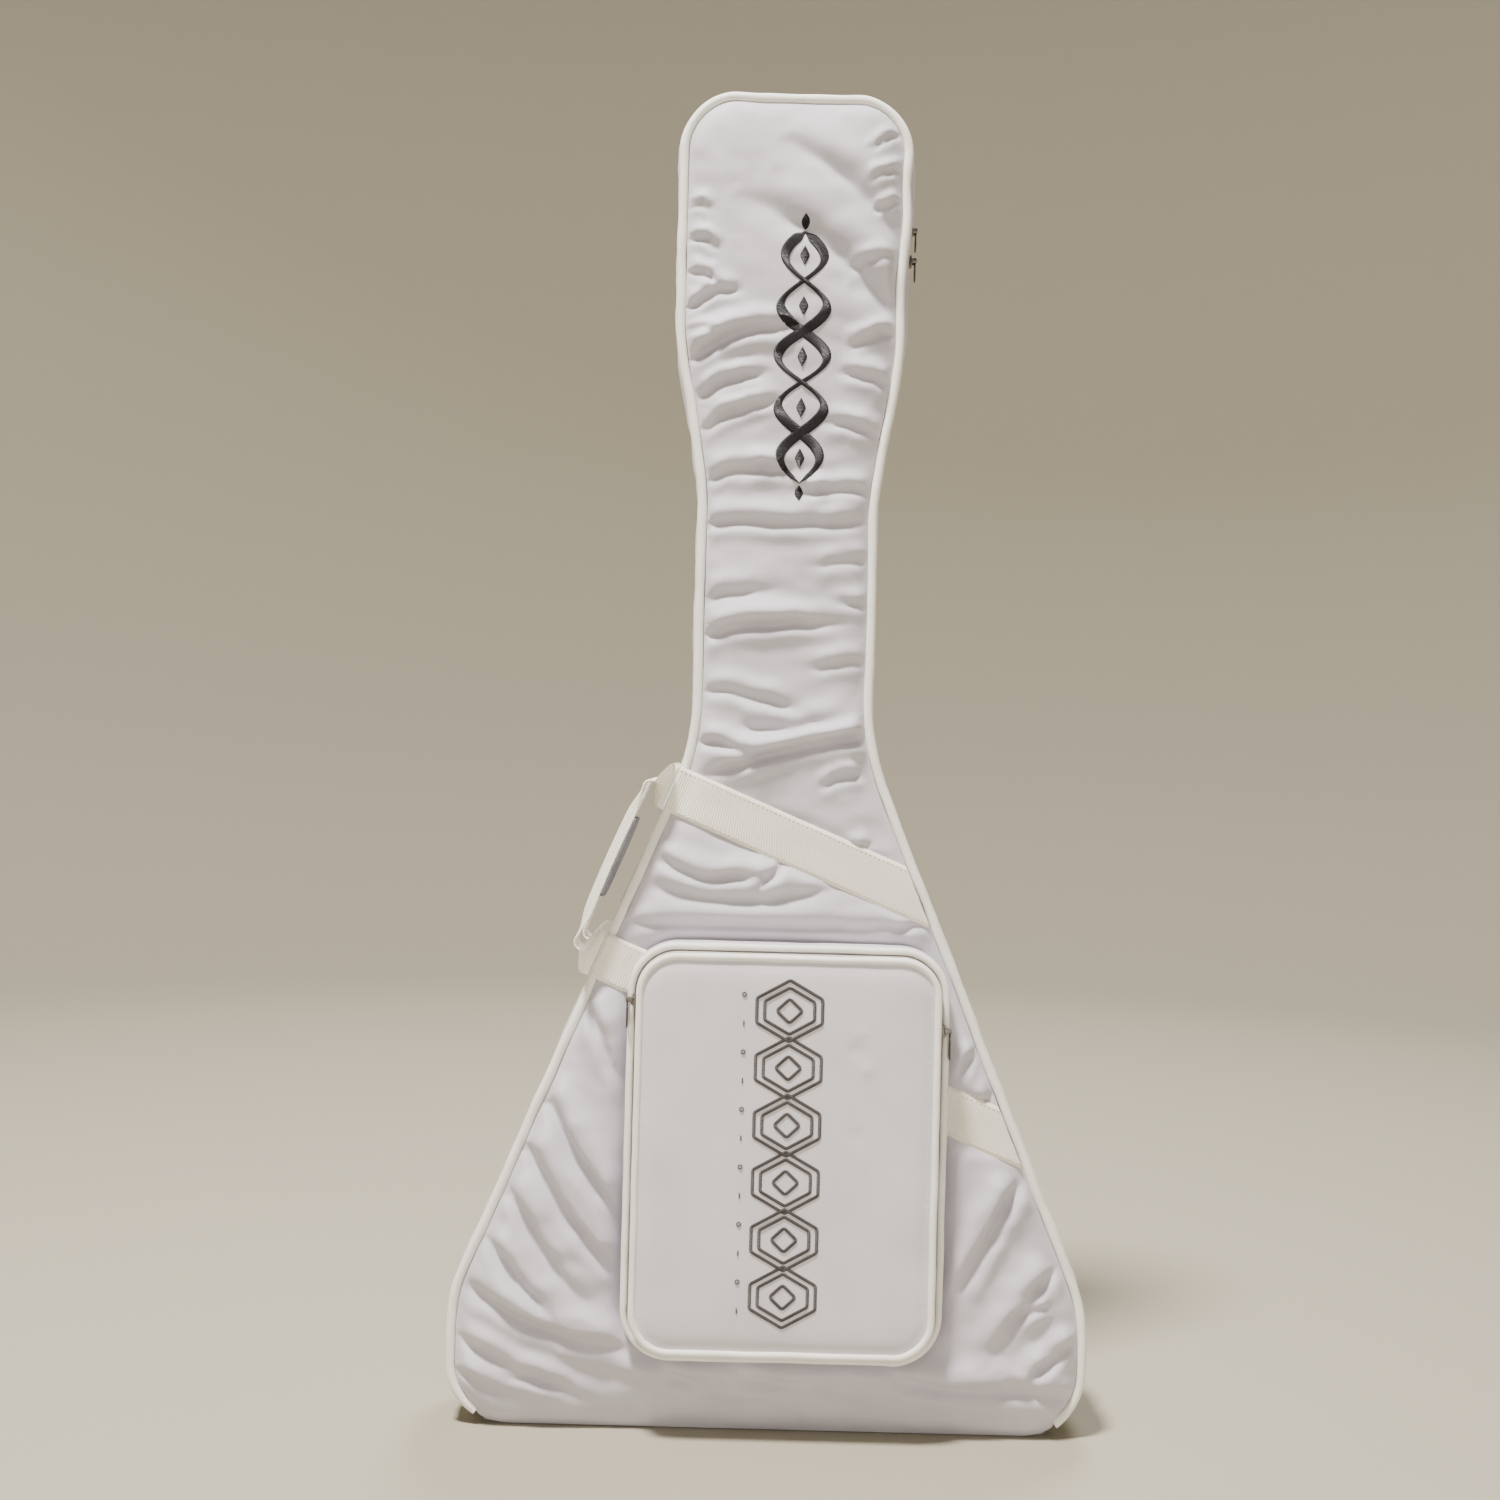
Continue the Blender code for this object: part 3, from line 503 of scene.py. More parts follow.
coverLine = makePath(resample(roundedLine(corners), 0.0045, True), True)
wing = {"up": np.array((0.3828, 0.9239)), "across": np.array((0.9239, -0.3828)), "webHalf": 0.020}


def edgeCrossing(start, direction, line):
    # where a line from a point inside leaves a closed outline, to a tenth of a millimetre
    reach = np.arange(0, 0.5, 0.0001)
    trial = start[None] + direction[None] * reach[:, None]
    return trial[inside(trial, line).argmin()]


webSpacing = 0.1545
waist = np.array((-bagShape["waist"][0], bagShape["waist"][1]))
bandStart = {key: edgeCrossing(waist + wing["across"] * 0.040 - wing["up"] * (0.040 + drop), -wing["across"],
                               bagOutline["points"])
             for key, drop in (("upper", 0.0), ("lower", webSpacing))}
pocketBox = {"centre": 0.011, "half": 0.1348, "low": 0.068, "high": 0.418, "radius": 0.042}


def seamDrift(points):
    # how far the front seam is pulled in on the right of the head, where the zip sliders hang
    x, z = points[..., 0], points[..., 1]
    pull = 0.0055 * np.exp(-((z - 0.965) / 0.050) ** 2) + 0.0022 * np.exp(-((z - 1.065) / 0.022) ** 2)
    return pull * smooth((x - 0.05) / 0.03) + 0.0006 * noise(x / 0.03, z / 0.03, 11)


def stripOutline(start, across, up, half, length, shrink=0.0):
    near, far = start + across * shrink, start + across * (length - shrink)
    side = up * (half - shrink)
    return np.array([near - side, far - side, far + side, near + side])


def boxOutline(lowX, highX, lowZ, highZ, radius):
    return resample(roundedLine([(highX, lowZ, radius), (highX, highZ, radius), (lowX, highZ, radius),
                                 (lowX, lowZ, radius)]), 0.004, True)


pocketLine = boxOutline(pocketBox["centre"] - pocketBox["half"], pocketBox["centre"] + pocketBox["half"],
                        pocketBox["low"], pocketBox["high"], pocketBox["radius"])
bandLength = {"upper": 0.240, "lower": 0.400}
bandLines = {key: stripOutline(bandStart[key], wing["across"], wing["up"], wing["webHalf"], bandLength[key])
             for key in ("upper", "lower")}


def signedGap(points, line):
    # distance outside a closed line, negative inside it
    gap = edgeDistance(points, line)[0]
    return np.where(inside(points, line), -gap, gap)


def pillow(points, edge, rise, holds):
    # height of foam under a cover: it swells away from the seam and is held down by what is sewn on it
    high = rise * (1 - np.exp(-np.maximum(edge, 0) / 0.013))
    for line, low, soft in holds:
        gap = np.maximum(signedGap(points, line), 0)
        high = high * (1 - (1 - low) * np.exp(-gap / soft))
    return high


def foldHeight(x, z, folds):
    # each fold is a crest above a sharp valley with a lower crest under it, fading towards its far end
    total = np.zeros_like(x)
    for x0, z0, x1, z1, width, depth, bow in folds:
        run = np.array((x1 - x0, z1 - z0))
        length = np.linalg.norm(run)
        run = run / length
        up = np.array((-run[1], run[0]))
        up = up if up[1] > 0 else -up
        along = ((x - x0) * run[0] + (z - z0) * run[1]) / length
        side = (x - x0) * up[0] + (z - z0) * up[1] - bow * 4 * along * (1 - along)
        side = side + 0.0026 * noise(along * 3 + x0 * 40, side / 0.05, 5) + 0.0008 * noise(along * 9, side / 0.02, 6)
        side = side / width
        shape = (1.15 * np.exp(-((side - 1.00) / 0.72) ** 2) - 1.05 * np.exp(-(side / 0.32) ** 2)
                 + 0.50 * np.exp(-((side + 0.90) / 0.60) ** 2))
        shape = shape * (0.85 + 0.30 * noise(along * 4 + z0 * 30, side * 0 + 3, 7))
        total += 1.75 * depth * shape * smooth((along + 0.10) / 0.16) * smooth((1.18 - along) / 0.55)
    return total


def swollenCover(name, line, y, outward, rise, holds, folds, cloth, seed):
    # a cover of one side: hexagon mesh, pillow height, sewn folds, then the cloth simulation
    verts, faces = fillOutline(line, cloth["spacing"])
    x, z = verts[:, 0], verts[:, 1]
    edge, _ = edgeDistance(verts, line)
    edge[:len(line)] = 0.0
    high = pillow(verts, edge, rise, holds)
    held = np.ones(len(verts))
    for holdLine, low, soft in holds:
        held *= 1 - (1 - low) * np.exp(-np.maximum(signedGap(verts, holdLine), 0) / soft)
    fine = 0.0009 * noise(x / 0.045, z / 0.016, seed) + 0.0006 * noise(x / 0.017, z / 0.011, seed + 1)
    pucker = 0.0014 * noise(x / 0.013, z / 0.010, seed + 2) * np.exp(-edge / 0.012)
    crease = (foldHeight(x, z, folds) + fine + pucker) * smooth(edge / 0.007) * smooth((held - 0.1) / 0.6)
    place = spots(x, y + outward * (high + crease), z)
    flipped = faces if outward < 0 else faces[:, ::-1]
    item = addMesh(name, place, flipped)
    rest = place.copy()
    rest[:, 0] *= cloth["loose"]
    rest[:, 2] *= cloth["loose"]
    moved = swell(item, rest, (edge < 0.002).astype(float), cloth["pressure"], cloth["bend"], cloth["frames"],
                  cloth["cap"])
    shift = (moved - place) * smooth(held / 0.8)[:, None]
    place = place + shift
    return item, place


def applyPlace(item, place):
    item.data.vertices.foreach_set("co", place.astype(np.float32).ravel())
    item.data.update()


def heightAt(points, verts, heights):
    # the cover's Y under many points: its four nearest vertices, weighted by closeness
    found = np.zeros(len(points))
    for start in range(0, len(points), 400):
        part = points[start:start + 400]
        gap = ((part[:, None, :] - verts[None]) ** 2).sum(2)
        near = np.argpartition(gap, 4, axis=1)[:, :4]
        weight = 1 / (np.take_along_axis(gap, near, 1) + 1e-8)
        found[start:start + 400] = (weight * heights[near]).sum(1) / weight.sum(1)
    return found


frontLine = coverLine["points"] + coverLine["inward"] * (seamInset + seamDrift(coverLine["points"]))[:, None]
frontLine = resample(frontLine, 0.0045, True)
frontHolds = [(pocketLine, 0.03, 0.010), (bandLines["upper"], 0.62, 0.010), (bandLines["lower"], 0.62, 0.010)]
# folds in millimetres: from (x, z) at the seam inwards to (x, z), then width, depth and bow
foldMarks = [
    (70, 592, -57, 559, 10.5, 6.8, 3), (-72, 588, -10, 578, 9, 4.6, -2), (-68, 630, 14, 615, 10, 3, 3),
    (-71, 676, 48, 690, 11, 4.8, 4), (-69, 705, -6, 718, 12, 2.2, 2), (-71, 773, 62, 777, 10.5, 4.4, -3),
    (68, 801, 8, 797, 8.5, 3.8, 1), (-69, 809, 0, 818, 10, 4.2, 4), (-74, 852, -12, 878, 8.5, 3.6, 2),
    (-77, 881, -20, 901, 8.5, 3, 2), (-83, 914, 2, 941, 11.5, 4.8, 5), (-88, 956, -46, 970, 8, 3.6, 2),
    (-89, 987, -62, 973, 6.5, 3.4, 1), (-89, 1016, -66, 1005, 6.5, 3.4, 1), (-170, 82, -50, 36, 15, 2.6, 6),
    (-30, 60, 70, 32, 14, 2, -3), (70, 70, 180, 38, 15, 2.4, -5), (-220, 46, -150, 26, 10, 2.2, 2),
    (-90, 1043, -72, 1038, 6, 2.4, 1), (90, 1074, 62, 1063, 6, 2.6, 1), (84, 1103, 62, 1088, 5.5, 2, 1),
    (88, 1046, 66, 1038, 5.5, 2.4, 0), (-88, 936, -60, 930, 6, 2.6, 1), (66, 560, 34, 548, 8, 3.4, 2),
    (-30, 600, 50, 606, 12, 2.6, -4), (74, 700, 36, 706, 8, 2.2, 1), (78, 958, -34, 1042, 22, 3.6, 10),
    (86, 1016, -10, 1096, 20, 2.4, 8), (82, 998, 48, 989, 7.5, 2.2, 1), (86, 936, 50, 921, 8, 2.8, 2),
    (79, 892, 40, 899, 8.5, 2.6, 1), (74, 846, 30, 858, 9, 2.6, 2), (70, 742, 20, 734, 9.5, 2.2, 1),
    (70, 655, 22, 648, 9.5, 2.2, 1), (-101, 487, -4, 478, 10.5, 4.2, -12), (12, 489, -20, 459, 8.5, 3.6, 1),
    (-110, 464, 66, 470, 14, 2.6, -14), (-122, 428, 126, 431, 10, 3, 4), (76, 500, 40, 484, 7.5, 3, 1),
    (106, 478, 74, 463, 8, 2.8, 1), (128, 436, 96, 430, 8.5, 2.6, 1), (-160, 362, -128, 298, 11, 3.6, -3),
    (-193, 284, -130, 186, 12.5, 5.6, -4), (-208, 240, -130, 136, 13, 5.6, -5), (-222, 203, -164, 118, 11.5, 4, -4),
    (-236, 158, -176, 92, 12, 3.8, -4), (-254, 120, -142, 70, 13, 4, -5), (-258, 74, -166, 38, 12, 3.2, -3),
    (-262, 48, -225, 30, 8.5, 2.6, 0), (207, 214, 158, 122, 13, 5, 3), (192, 298, 152, 236, 10.5, 3, 3),
    (240, 146, 194, 76, 12.5, 3.6, 3), (262, 86, 222, 50, 10.5, 3.8, 2), (256, 40, 110, 43, 12, 3, 3),
    (-110, 46, 138, 49, 12.5, 1.8, 2), (236, 118, 212, 106, 8, 2.6, 1), (172, 330, 152, 300, 8.5, 2.6, 1),
]
frontFolds = [tuple(value / 1000 for value in mark) for mark in foldMarks]
# mesh size, how much larger the cut is, air pressure, stiffness, frames and the most a point may move
clothRun = {"spacing": 0.0046, "loose": 1.016, "pressure": 1.5, "bend": 1.0, "frames": 15, "cap": 0.006}
frontItem, frontPlace = swollenCover(
    "frontCover", frontLine, shellDepth["front"] + 0.0022, -1, 0.0098, frontHolds, frontFolds, clothRun, 3)
frontPlace[:, 1] = np.maximum(frontPlace[:, 1], shellDepth["front"] - 0.0195)


def bandPlane(points):
    # the back of a band that lies on the cover: a calm copy of the foam's height without folds
    edge = signedGap(points, frontLine)
    high = pillow(points, np.maximum(-edge, 0), 0.0098, frontHolds)
    return shellDepth["front"] + 0.0022 - high * 1.06 - 0.0008


for key in ("upper", "lower"):
    gap = signedGap(frontPlace[:, [0, 2]], bandLines[key])
    near = gap < 0.009
    limit = bandPlane(frontPlace[near][:, [0, 2]]) + 0.0005 - np.maximum(gap[near] + 0.0015, 0) * 0.9
    frontPlace[near, 1] = np.maximum(frontPlace[near, 1], limit)
gap = signedGap(frontPlace[:, [0, 2]], pocketLine)
sunk = smooth(-(gap - 0.001) / 0.006)
frontPlace[:, 1] = frontPlace[:, 1] * (1 - sunk) + (shellDepth["front"] + 0.0004) * sunk
# the bottom edge hangs down over the base board and rolls back under it
tuck = {"reach": 0.024, "end": 0.2492, "gap": 0.0008, "back": 0.0045}


def lowerEdge(line, x):
    low = line[line[:, 1] < 0.035]
    low = low[np.argsort(low[:, 0])]
    return np.interp(x, low[:, 0], low[:, 1])


seamLow = lowerEdge(frontLine, frontPlace[:, 0])
share = smooth(1 - (frontPlace[:, 2] - seamLow) / tuck["reach"])
share = share * smooth((tuck["end"] - np.abs(frontPlace[:, 0])) / 0.0035)
frontPlace[:, 2] -= share * np.maximum(seamLow - lowerEdge(bagOutline["points"], frontPlace[:, 0]) - tuck["gap"], 0)
frontPlace[:, 1] += share ** 4 * tuck["back"]
applyPlace(frontItem, frontPlace)
subdivide(frontItem)
finishPiece(frontItem, None, whiteNylon, ("front_panel",))
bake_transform(frontItem)
print("front cover", len(frontPlace))

backLine = coverLine["points"] + coverLine["inward"] * seamInset
backHolds = [(boxOutline(-0.066, 0.066, 0.598, 0.658, 0.004), 0.02, 0.014),
             (boxOutline(-0.150, 0.150, 0.074, 0.125, 0.003), 0.02, 0.030),
             (boxOutline(-0.016, 0.016, 1.056, 1.092, 0.003), 0.02, 0.010),
             (stripOutline(bandStart["upper"], wing["across"], wing["up"], 0.021, 0.056), 0.05, 0.010),
             (stripOutline(bandStart["lower"], wing["across"], wing["up"], 0.021, 0.056), 0.05, 0.010)]
backFolds = [(-x0, z0 + 0.012, -x1, z1 + 0.010, width * 1.2, depth * 0.6, bow)
             for x0, z0, x1, z1, width, depth, bow in frontFolds[:22] + frontFolds[31:42]]
backRun = dict(clothRun, spacing=0.0062, frames=14)
backItem, backPlace = swollenCover(
    "backCover", backLine, shellDepth["back"] - 0.0022, 1, 0.0062, backHolds, backFolds, backRun, 23)
backPlace[:, 1] = np.minimum(backPlace[:, 1], shellDepth["back"] + 0.010)
for holdLine, low, soft in backHolds:
    sunk = smooth(-(signedGap(backPlace[:, [0, 2]], holdLine) - 0.001) / 0.005)
    backPlace[:, 1] = backPlace[:, 1] * (1 - sunk) + (shellDepth["back"] - 0.0002) * sunk
applyPlace(backItem, backPlace)
subdivide(backItem)
finishPiece(backItem, "back_shell", whiteNylon, ("back_panel",))
print("back cover", len(backPlace))


def raised(value, power):
    return np.sign(value) * np.abs(value) ** power


def superRing(halfA, halfB, count, power):
    # superellipse: cosine and sine raised to a power below one give rounded rectangles
    turn = np.linspace(0, tau, count, endpoint=False)
    return halfA * raised(np.cos(turn), power), halfB * raised(np.sin(turn), power)


gussetShape = {"outer": 0.0298, "inner": 0.0036, "proud": 0.0012, "wall": 0.0096, "puff": 0.0022, "wave": 0.0009}


def gusset(name, path, side, drift, body, replaced, lively):
    # the bag's side wall: its outer face bulges and puckers between the piping and the zip
    outerY, innerY = -side * gussetShape["outer"], -side * gussetShape["inner"]
    share = np.linspace(0, 1, 9)
    run = path["length"][:, None]
    wave = noise(run / 0.021 + share * 0.8, share[None] * 2.0 + run * 0, 31) + 0.6 * noise(run / 0.009, share * 3, 32)
    x, z = path["points"][:, 0:1], path["points"][:, 1:2]
    crumple = np.exp(-((z - 1.07) / 0.030) ** 2) * smooth((x - 0.07) / 0.02)
    puff = gussetShape["puff"] + gussetShape["wave"] * wave * (1 + 1.6 * crumple)
    puff = np.sin(math.pi * share) * puff * lively
    outer = gussetShape["proud"] + drift * (1 - share) - puff
    inner = np.full_like(outer, gussetShape["wall"])
    deep = np.concatenate([outer, inner[:, ::-1]], 1)
    y = np.concatenate([outerY + (innerY - outerY) * share, (outerY + (innerY - outerY) * share)[::-1]])
    grid = carry(path, deep, y)
    item = gridSheet(name, grid, wrapColumns=True, wrapRows=False, capped=True, flip=side > 0)
    return finishPiece(item, body, whiteNylon, (replaced,))


def beadTube(name, path, radius, deep, y, drift, body, replaced, seed, material=pipingTape):
    # cord in a folded tape: a round bead whose size and place wander a little as it was sewn by hand
    turns = np.linspace(0, tau, 14, endpoint=False)
    run = path["length"][:, None]
    size = radius * (1 + 0.05 * noise(run / 0.02, run * 0, seed))
    sway = 0.0003 * noise(run / 0.03, run * 0 + 7, seed)
    flange = 0.16 * np.exp(-((turns - math.pi / 2) / 0.5) ** 2)
    grid = carry(path, deep + drift + sway + size * np.cos(turns) * (1 + flange), y + size * np.sin(turns))
    item = gridSheet(name, grid, wrapRows=path["closed"], wrapColumns=True, capped=not path["closed"], flip=True)
    return finishPiece(item, body, material, (replaced,))


def zipCoil(name, path, deep, y, radius, pitch, body):
    # coil teeth: the bead's radius swells and shrinks at the teeth's pitch, drawn twice the real 1.2 mm
    line = resample(path["points"], pitch / 4, path["closed"])
    fine = makePath(line, path["closed"])
    turns = np.linspace(0, tau, 7, endpoint=False)
    swing = 1 + 0.34 * np.cos(tau * np.arange(len(line)) / 4)[:, None]
    grid = carry(fine, deep + radius * swing * np.cos(turns), y + radius * swing * np.sin(turns))
    item = gridSheet(name, grid, wrapRows=path["closed"], wrapColumns=True, capped=not path["closed"], flip=True)
    return finishPiece(item, body, zipTape, ())


def zipTapeStrip(name, path, insetRange, yRange, body, replaced):
    deep = np.array([insetRange[0], insetRange[0], insetRange[1], insetRange[1]])
    y = np.array([yRange[0], yRange[1], yRange[1], yRange[0]])
    item = gridSheet(name, carry(path, deep, y), wrapRows=path["closed"], wrapColumns=True,
                     capped=not path["closed"], flip=yRange[1] > yRange[0])
    return finishPiece(item, body, zipTape, (replaced,))


sidePath = openPath(bagOutline, 0.0083)
noDrift = np.zeros((len(sidePath["points"]), 1))
frontDrift = seamDrift(sidePath["points"])[:, None]
gusset("frontGusset", sidePath, 1, frontDrift, "front_flap", "front_gusset", 1.0)
gusset("backGusset", sidePath, -1, noDrift, "back_shell", "back_gusset", 0.55)
frontY, backY = shellDepth["front"] + pipingRadius, shellDepth["back"] - pipingRadius
beadTube("frontPiping", sidePath, pipingRadius, pipingRadius, frontY, frontDrift, "front_flap", "front_piping", 41)
beadTube("backPiping", bagOutline, pipingRadius, pipingRadius, backY, 0.0, "back_shell", "back_piping", 42)
mainZip = {"inset": (0.001, 0.0025), "near": 0.0017, "far": 0.0037, "teeth": 0.0011, "bead": 0.00075, "pitch": 0.0026}
for name, side, body in (("front", -1, "front_flap"), ("back", 1, "back_shell")):
    edges = sorted((side * mainZip["near"], side * mainZip["far"]))
    zipTapeStrip(name + "ZipTape", sidePath, mainZip["inset"], edges, body, name + "_zip_tape")
for name, side, body in (("front", -1, "front_flap"), ("back", 1, "back_shell")):
    zipCoil(name + "ZipCoil", sidePath, 0.0015, side * mainZip["teeth"], mainZip["bead"], mainZip["pitch"], body)
print("gussets, piping and main zip")


def softBlock(name, low, high, power, dent, body, material, replaced, seed=0):
    # superellipsoid: a rounded box whose faces crown, with a slow dent pattern of hand-cut foam
    low, high = np.array(low, float), np.array(high, float)
    middle, half = (low + high) / 2, (high - low) / 2
    share = np.linspace(-1, 1, 26)[:, None]
    lat = math.pi / 2 * np.sign(share) * (1 - (1 - np.abs(share)) ** 4)
    lon = np.linspace(0, tau, 72, endpoint=False)[None, :]
    x = half[0] * raised(np.cos(lat), power) * raised(np.cos(lon), power)
    y = half[1] * raised(np.cos(lat), power) * raised(np.sin(lon), power)
    z = half[2] * raised(np.sin(lat), power) * np.ones_like(lon)
    ripple = 1 - dent * (0.5 + 0.5 * noise(x / 0.04, (z + y) / 0.03, seed))
    grid = spots(middle[0] + x, middle[1] + y * ripple, middle[2] + z * ripple)
    item = gridSheet(name, grid[1:-1], wrapColumns=True, capped=True, flip=True)
    return finishPiece(item, body, material, (replaced,))


baseLow, baseHigh = nodeBox("base_panel")
baseLow, baseHigh = baseLow + np.array((0.004, 0.008, 0)), baseHigh - np.array((0.004, 0, 0))
softBlock("baseCover", baseLow, baseHigh, 0.16, 0.03, "back_shell", whiteNylon, "base_panel", 51)
padLow, padHigh = nodeBox("base_pad")
softBlock("basePad", padLow, padHigh, 0.24, 0.03, "back_shell", plush, "base_pad", 52)
padLow, padHigh = nodeBox("head_pad")
softBlock("headPad", padLow, padHigh, 0.30, 0.03, "back_shell", plush, "head_pad", 53)


def neckCradle():
    # a foam block with a notch for the neck: its rounded plan is carried up and pulled in at both ends
    low, high = nodeBox("neck_cradle")
    notch, floor = 0.027, 0.0112
    plan = resample(roundedLine([(low[0], low[1], 0.004), (-notch, low[1], 0.006), (-notch + 0.004, floor, 0.010),
                                 (notch - 0.004, floor, 0.010), (notch, low[1], 0.006), (high[0], low[1], 0.004),
                                 (high[0], high[1], 0.004), (low[0], high[1], 0.004)][::-1], 0.0006), 0.0022, True)
    path = makePath(plan, True)
    share = np.linspace(0, 1, 15)
    pull = 0.0045 * (1 - np.sqrt(np.clip(1 - (np.abs(2 * share - 1) ** 8), 0, 1)))
    height = low[2] + (high[2] - low[2]) * share
    sign = 1 if inside((plan[:1] + path["inward"][:1] * 0.001), plan)[0] else -1
    rings = plan[None] + sign * path["inward"][None] * pull[:, None, None]
    grid = spots(rings[..., 0], rings[..., 1], height[:, None])
    item = gridSheet("neckCradle", grid, wrapColumns=True, capped=True)
    return item


finishPiece(editMesh(neckCradle()), "back_shell", plush, ("neck_cradle",))


def liningSheet(name, y, outward, body, replaced, seed):
    # plush over foam: shallow quilting waves and a seam allowance, with the pile's thickness added
    line = coverLine["points"] + coverLine["inward"] * 0.0108
    verts, faces = fillOutline(resample(line, 0.010, True), 0.010)
    edge = edgeDistance(verts, line)[0]
    soft = 0.0006 * noise(verts[:, 0] / 0.05, verts[:, 1] / 0.04, seed) * smooth(edge / 0.02)
    place = spots(verts[:, 0], y + outward * soft, verts[:, 1])
    item = addMesh(name, place, faces if outward < 0 else faces[:, ::-1])
    addPile(item, 0.0012)
    return finishPiece(item, body, plush, (replaced,))


liningSheet("backLining", 0.0279, -1, "back_shell", "back_lining", 61)
liningSheet("frontLining", -0.0279, 1, "front_flap", "front_lining", 62)


def webStrip(name, centres, across, half, thick, body, replaced, material=webbing,
             closed=False):
    # flat strap: a thin rounded section whose width direction is given at every station
    centres, across = np.asarray(centres, float), np.asarray(across, float)
    across = across / np.linalg.norm(across, axis=1)[:, None]
    run = np.gradient(centres, axis=0)
    run /= np.linalg.norm(run, axis=1)[:, None]
    normal = np.cross(run, across)
    normal /= np.linalg.norm(normal, axis=1)[:, None]
    half = np.broadcast_to(half, (len(centres),))
    wide = np.concatenate([np.linspace(-1, 1, 11), np.linspace(1, -1, 11)])
    edge = np.concatenate([np.full(11, 1.0), np.full(11, -1.0)]) * (1 - 0.55 * np.abs(wide) ** 14)
    grid = (centres[:, None] + across[:, None] * (wide[None] * half[:, None])[..., None]
            + normal[:, None] * (edge * thick / 2)[None, :, None])
    item = gridSheet(name, grid, wrapRows=closed, wrapColumns=True, capped=not closed)
    editMesh(item)
    if body:
        finishPiece(item, body, material, replaced)
    return item


def stitchRow(name, starts, ends, thick, body, material=seamThread, lift=(0, -1, 0)):
    # rows of thread stitches: short beads with pointed ends between each start and end
    starts, ends = np.asarray(starts, float), np.asarray(ends, float)
    run = ends - starts
    length = np.linalg.norm(run, axis=1)[:, None]
    run = run / length
    lift = np.broadcast_to(np.array(lift, float), run.shape)
    side = np.cross(run, lift)
    side /= np.linalg.norm(side, axis=1)[:, None]
    share = np.array([0, 0.2, 0.8, 1.0])
    size = np.array([0.25, 1.0, 1.0, 0.25]) * thick / 2
    turns = np.linspace(0, tau, 5, endpoint=False)
    ring = (side[:, None, None] * np.cos(turns)[None, None, :, None]
            + lift[:, None, None] * np.sin(turns)[None, None, :, None])
    place = starts[:, None, None] + run[:, None, None] * (share[None, :, None, None] * length[:, None, None])
    grid = place + ring * size[None, :, None, None]
    count = len(starts)
    verts = grid.reshape(-1, 3)
    one = gridFaces(4, 5, False, True)
    ends4 = np.array([[0, 1, 2, 3], [15, 18, 17, 16]])
    tris = np.array([[0, 3, 4, 4], [15, 19, 18, 18]])
    unit = np.vstack([one, ends4, tris])
    faces = (unit[None] + (np.arange(count) * 20)[:, None, None]).reshape(-1, 4)
    item = addMixed(name, verts, faces, np.zeros((len(verts), 2)))
    editMesh(item)
    return finishPiece(item, body, material, ())


def stitchLine(points, pitch, fill=0.68):
    # starts and ends of stitches along an open line
    marks = resample(points, pitch, False)
    return marks[:-1], marks[:-1] + (marks[1:] - marks[:-1]) * fill


def bandSurface(name, key, node):
    # webbing from the left edge to the right seam, laid on the foam: every thread stops at the outline
    wide = np.linspace(-1, 1, 13)
    starts = bandStart[key][None] + wing["up"][None] * (wide * wing["webHalf"])[:, None]
    trial = np.arange(0.05, 0.50, 0.0006)
    trialSpots = starts[:, None] + wing["across"][None, None] * trial[None, :, None]
    within = inside(trialSpots.reshape(-1, 2), frontLine).reshape(13, -1)
    lengths = np.array([trial[row.argmin()] if not row.all() else trial[-1] for row in within]) - 0.0006
    share = np.linspace(0.0008, 1, 110)
    reach = share[:, None] * lengths[None, :]
    flat = starts[None] + wing["across"] * reach[..., None]
    y = bandPlane(flat.reshape(-1, 2)).reshape(reach.shape)
    edgeEase = smooth((0.024 - reach) / 0.024)
    y = (y - 0.0001) * (1 - edgeEase) - 0.0391 * edgeEase
    tail = smooth((reach - lengths[None] + 0.012) / 0.012)
    y = np.minimum(y, -0.0386) + 0.0006 * tail
    if key == "lower":
        hidden = signedGap(flat.reshape(-1, 2), pocketLine).reshape(reach.shape)
        y = np.where(hidden < 0.003, -0.0386, y)
    y = y + 0.00035 * noise(reach / 0.03, wide[None] * 1.5, 44)
    front = spots(flat[..., 0], y - 0.0019, flat[..., 1])
    back = spots(flat[..., 0], y - 0.0001, flat[..., 1])[:, ::-1]
    front[:, [0, -1], 1] += 0.0007
    grid = np.concatenate([front, back], 1)
    item = editMesh(gridSheet(name, grid, wrapColumns=True, capped=True))
    finishPiece(item, "front_flap", webbing, (node,))
    firsts, lasts = [], []
    for column in (1, -2):
        first, last = stitchLine(front[:, column] + np.array((0, -0.0002, 0)), 0.0042)
        firsts.append(first)
        lasts.append(last)
    stitchRow(name + "Stitches", np.vstack(firsts), np.vstack(lasts), 0.0006, "front_flap")


bandSurface("frontBandUpper", "upper", "front_band_upper")
bandSurface("frontBandLower", "lower", "front_band_lower")

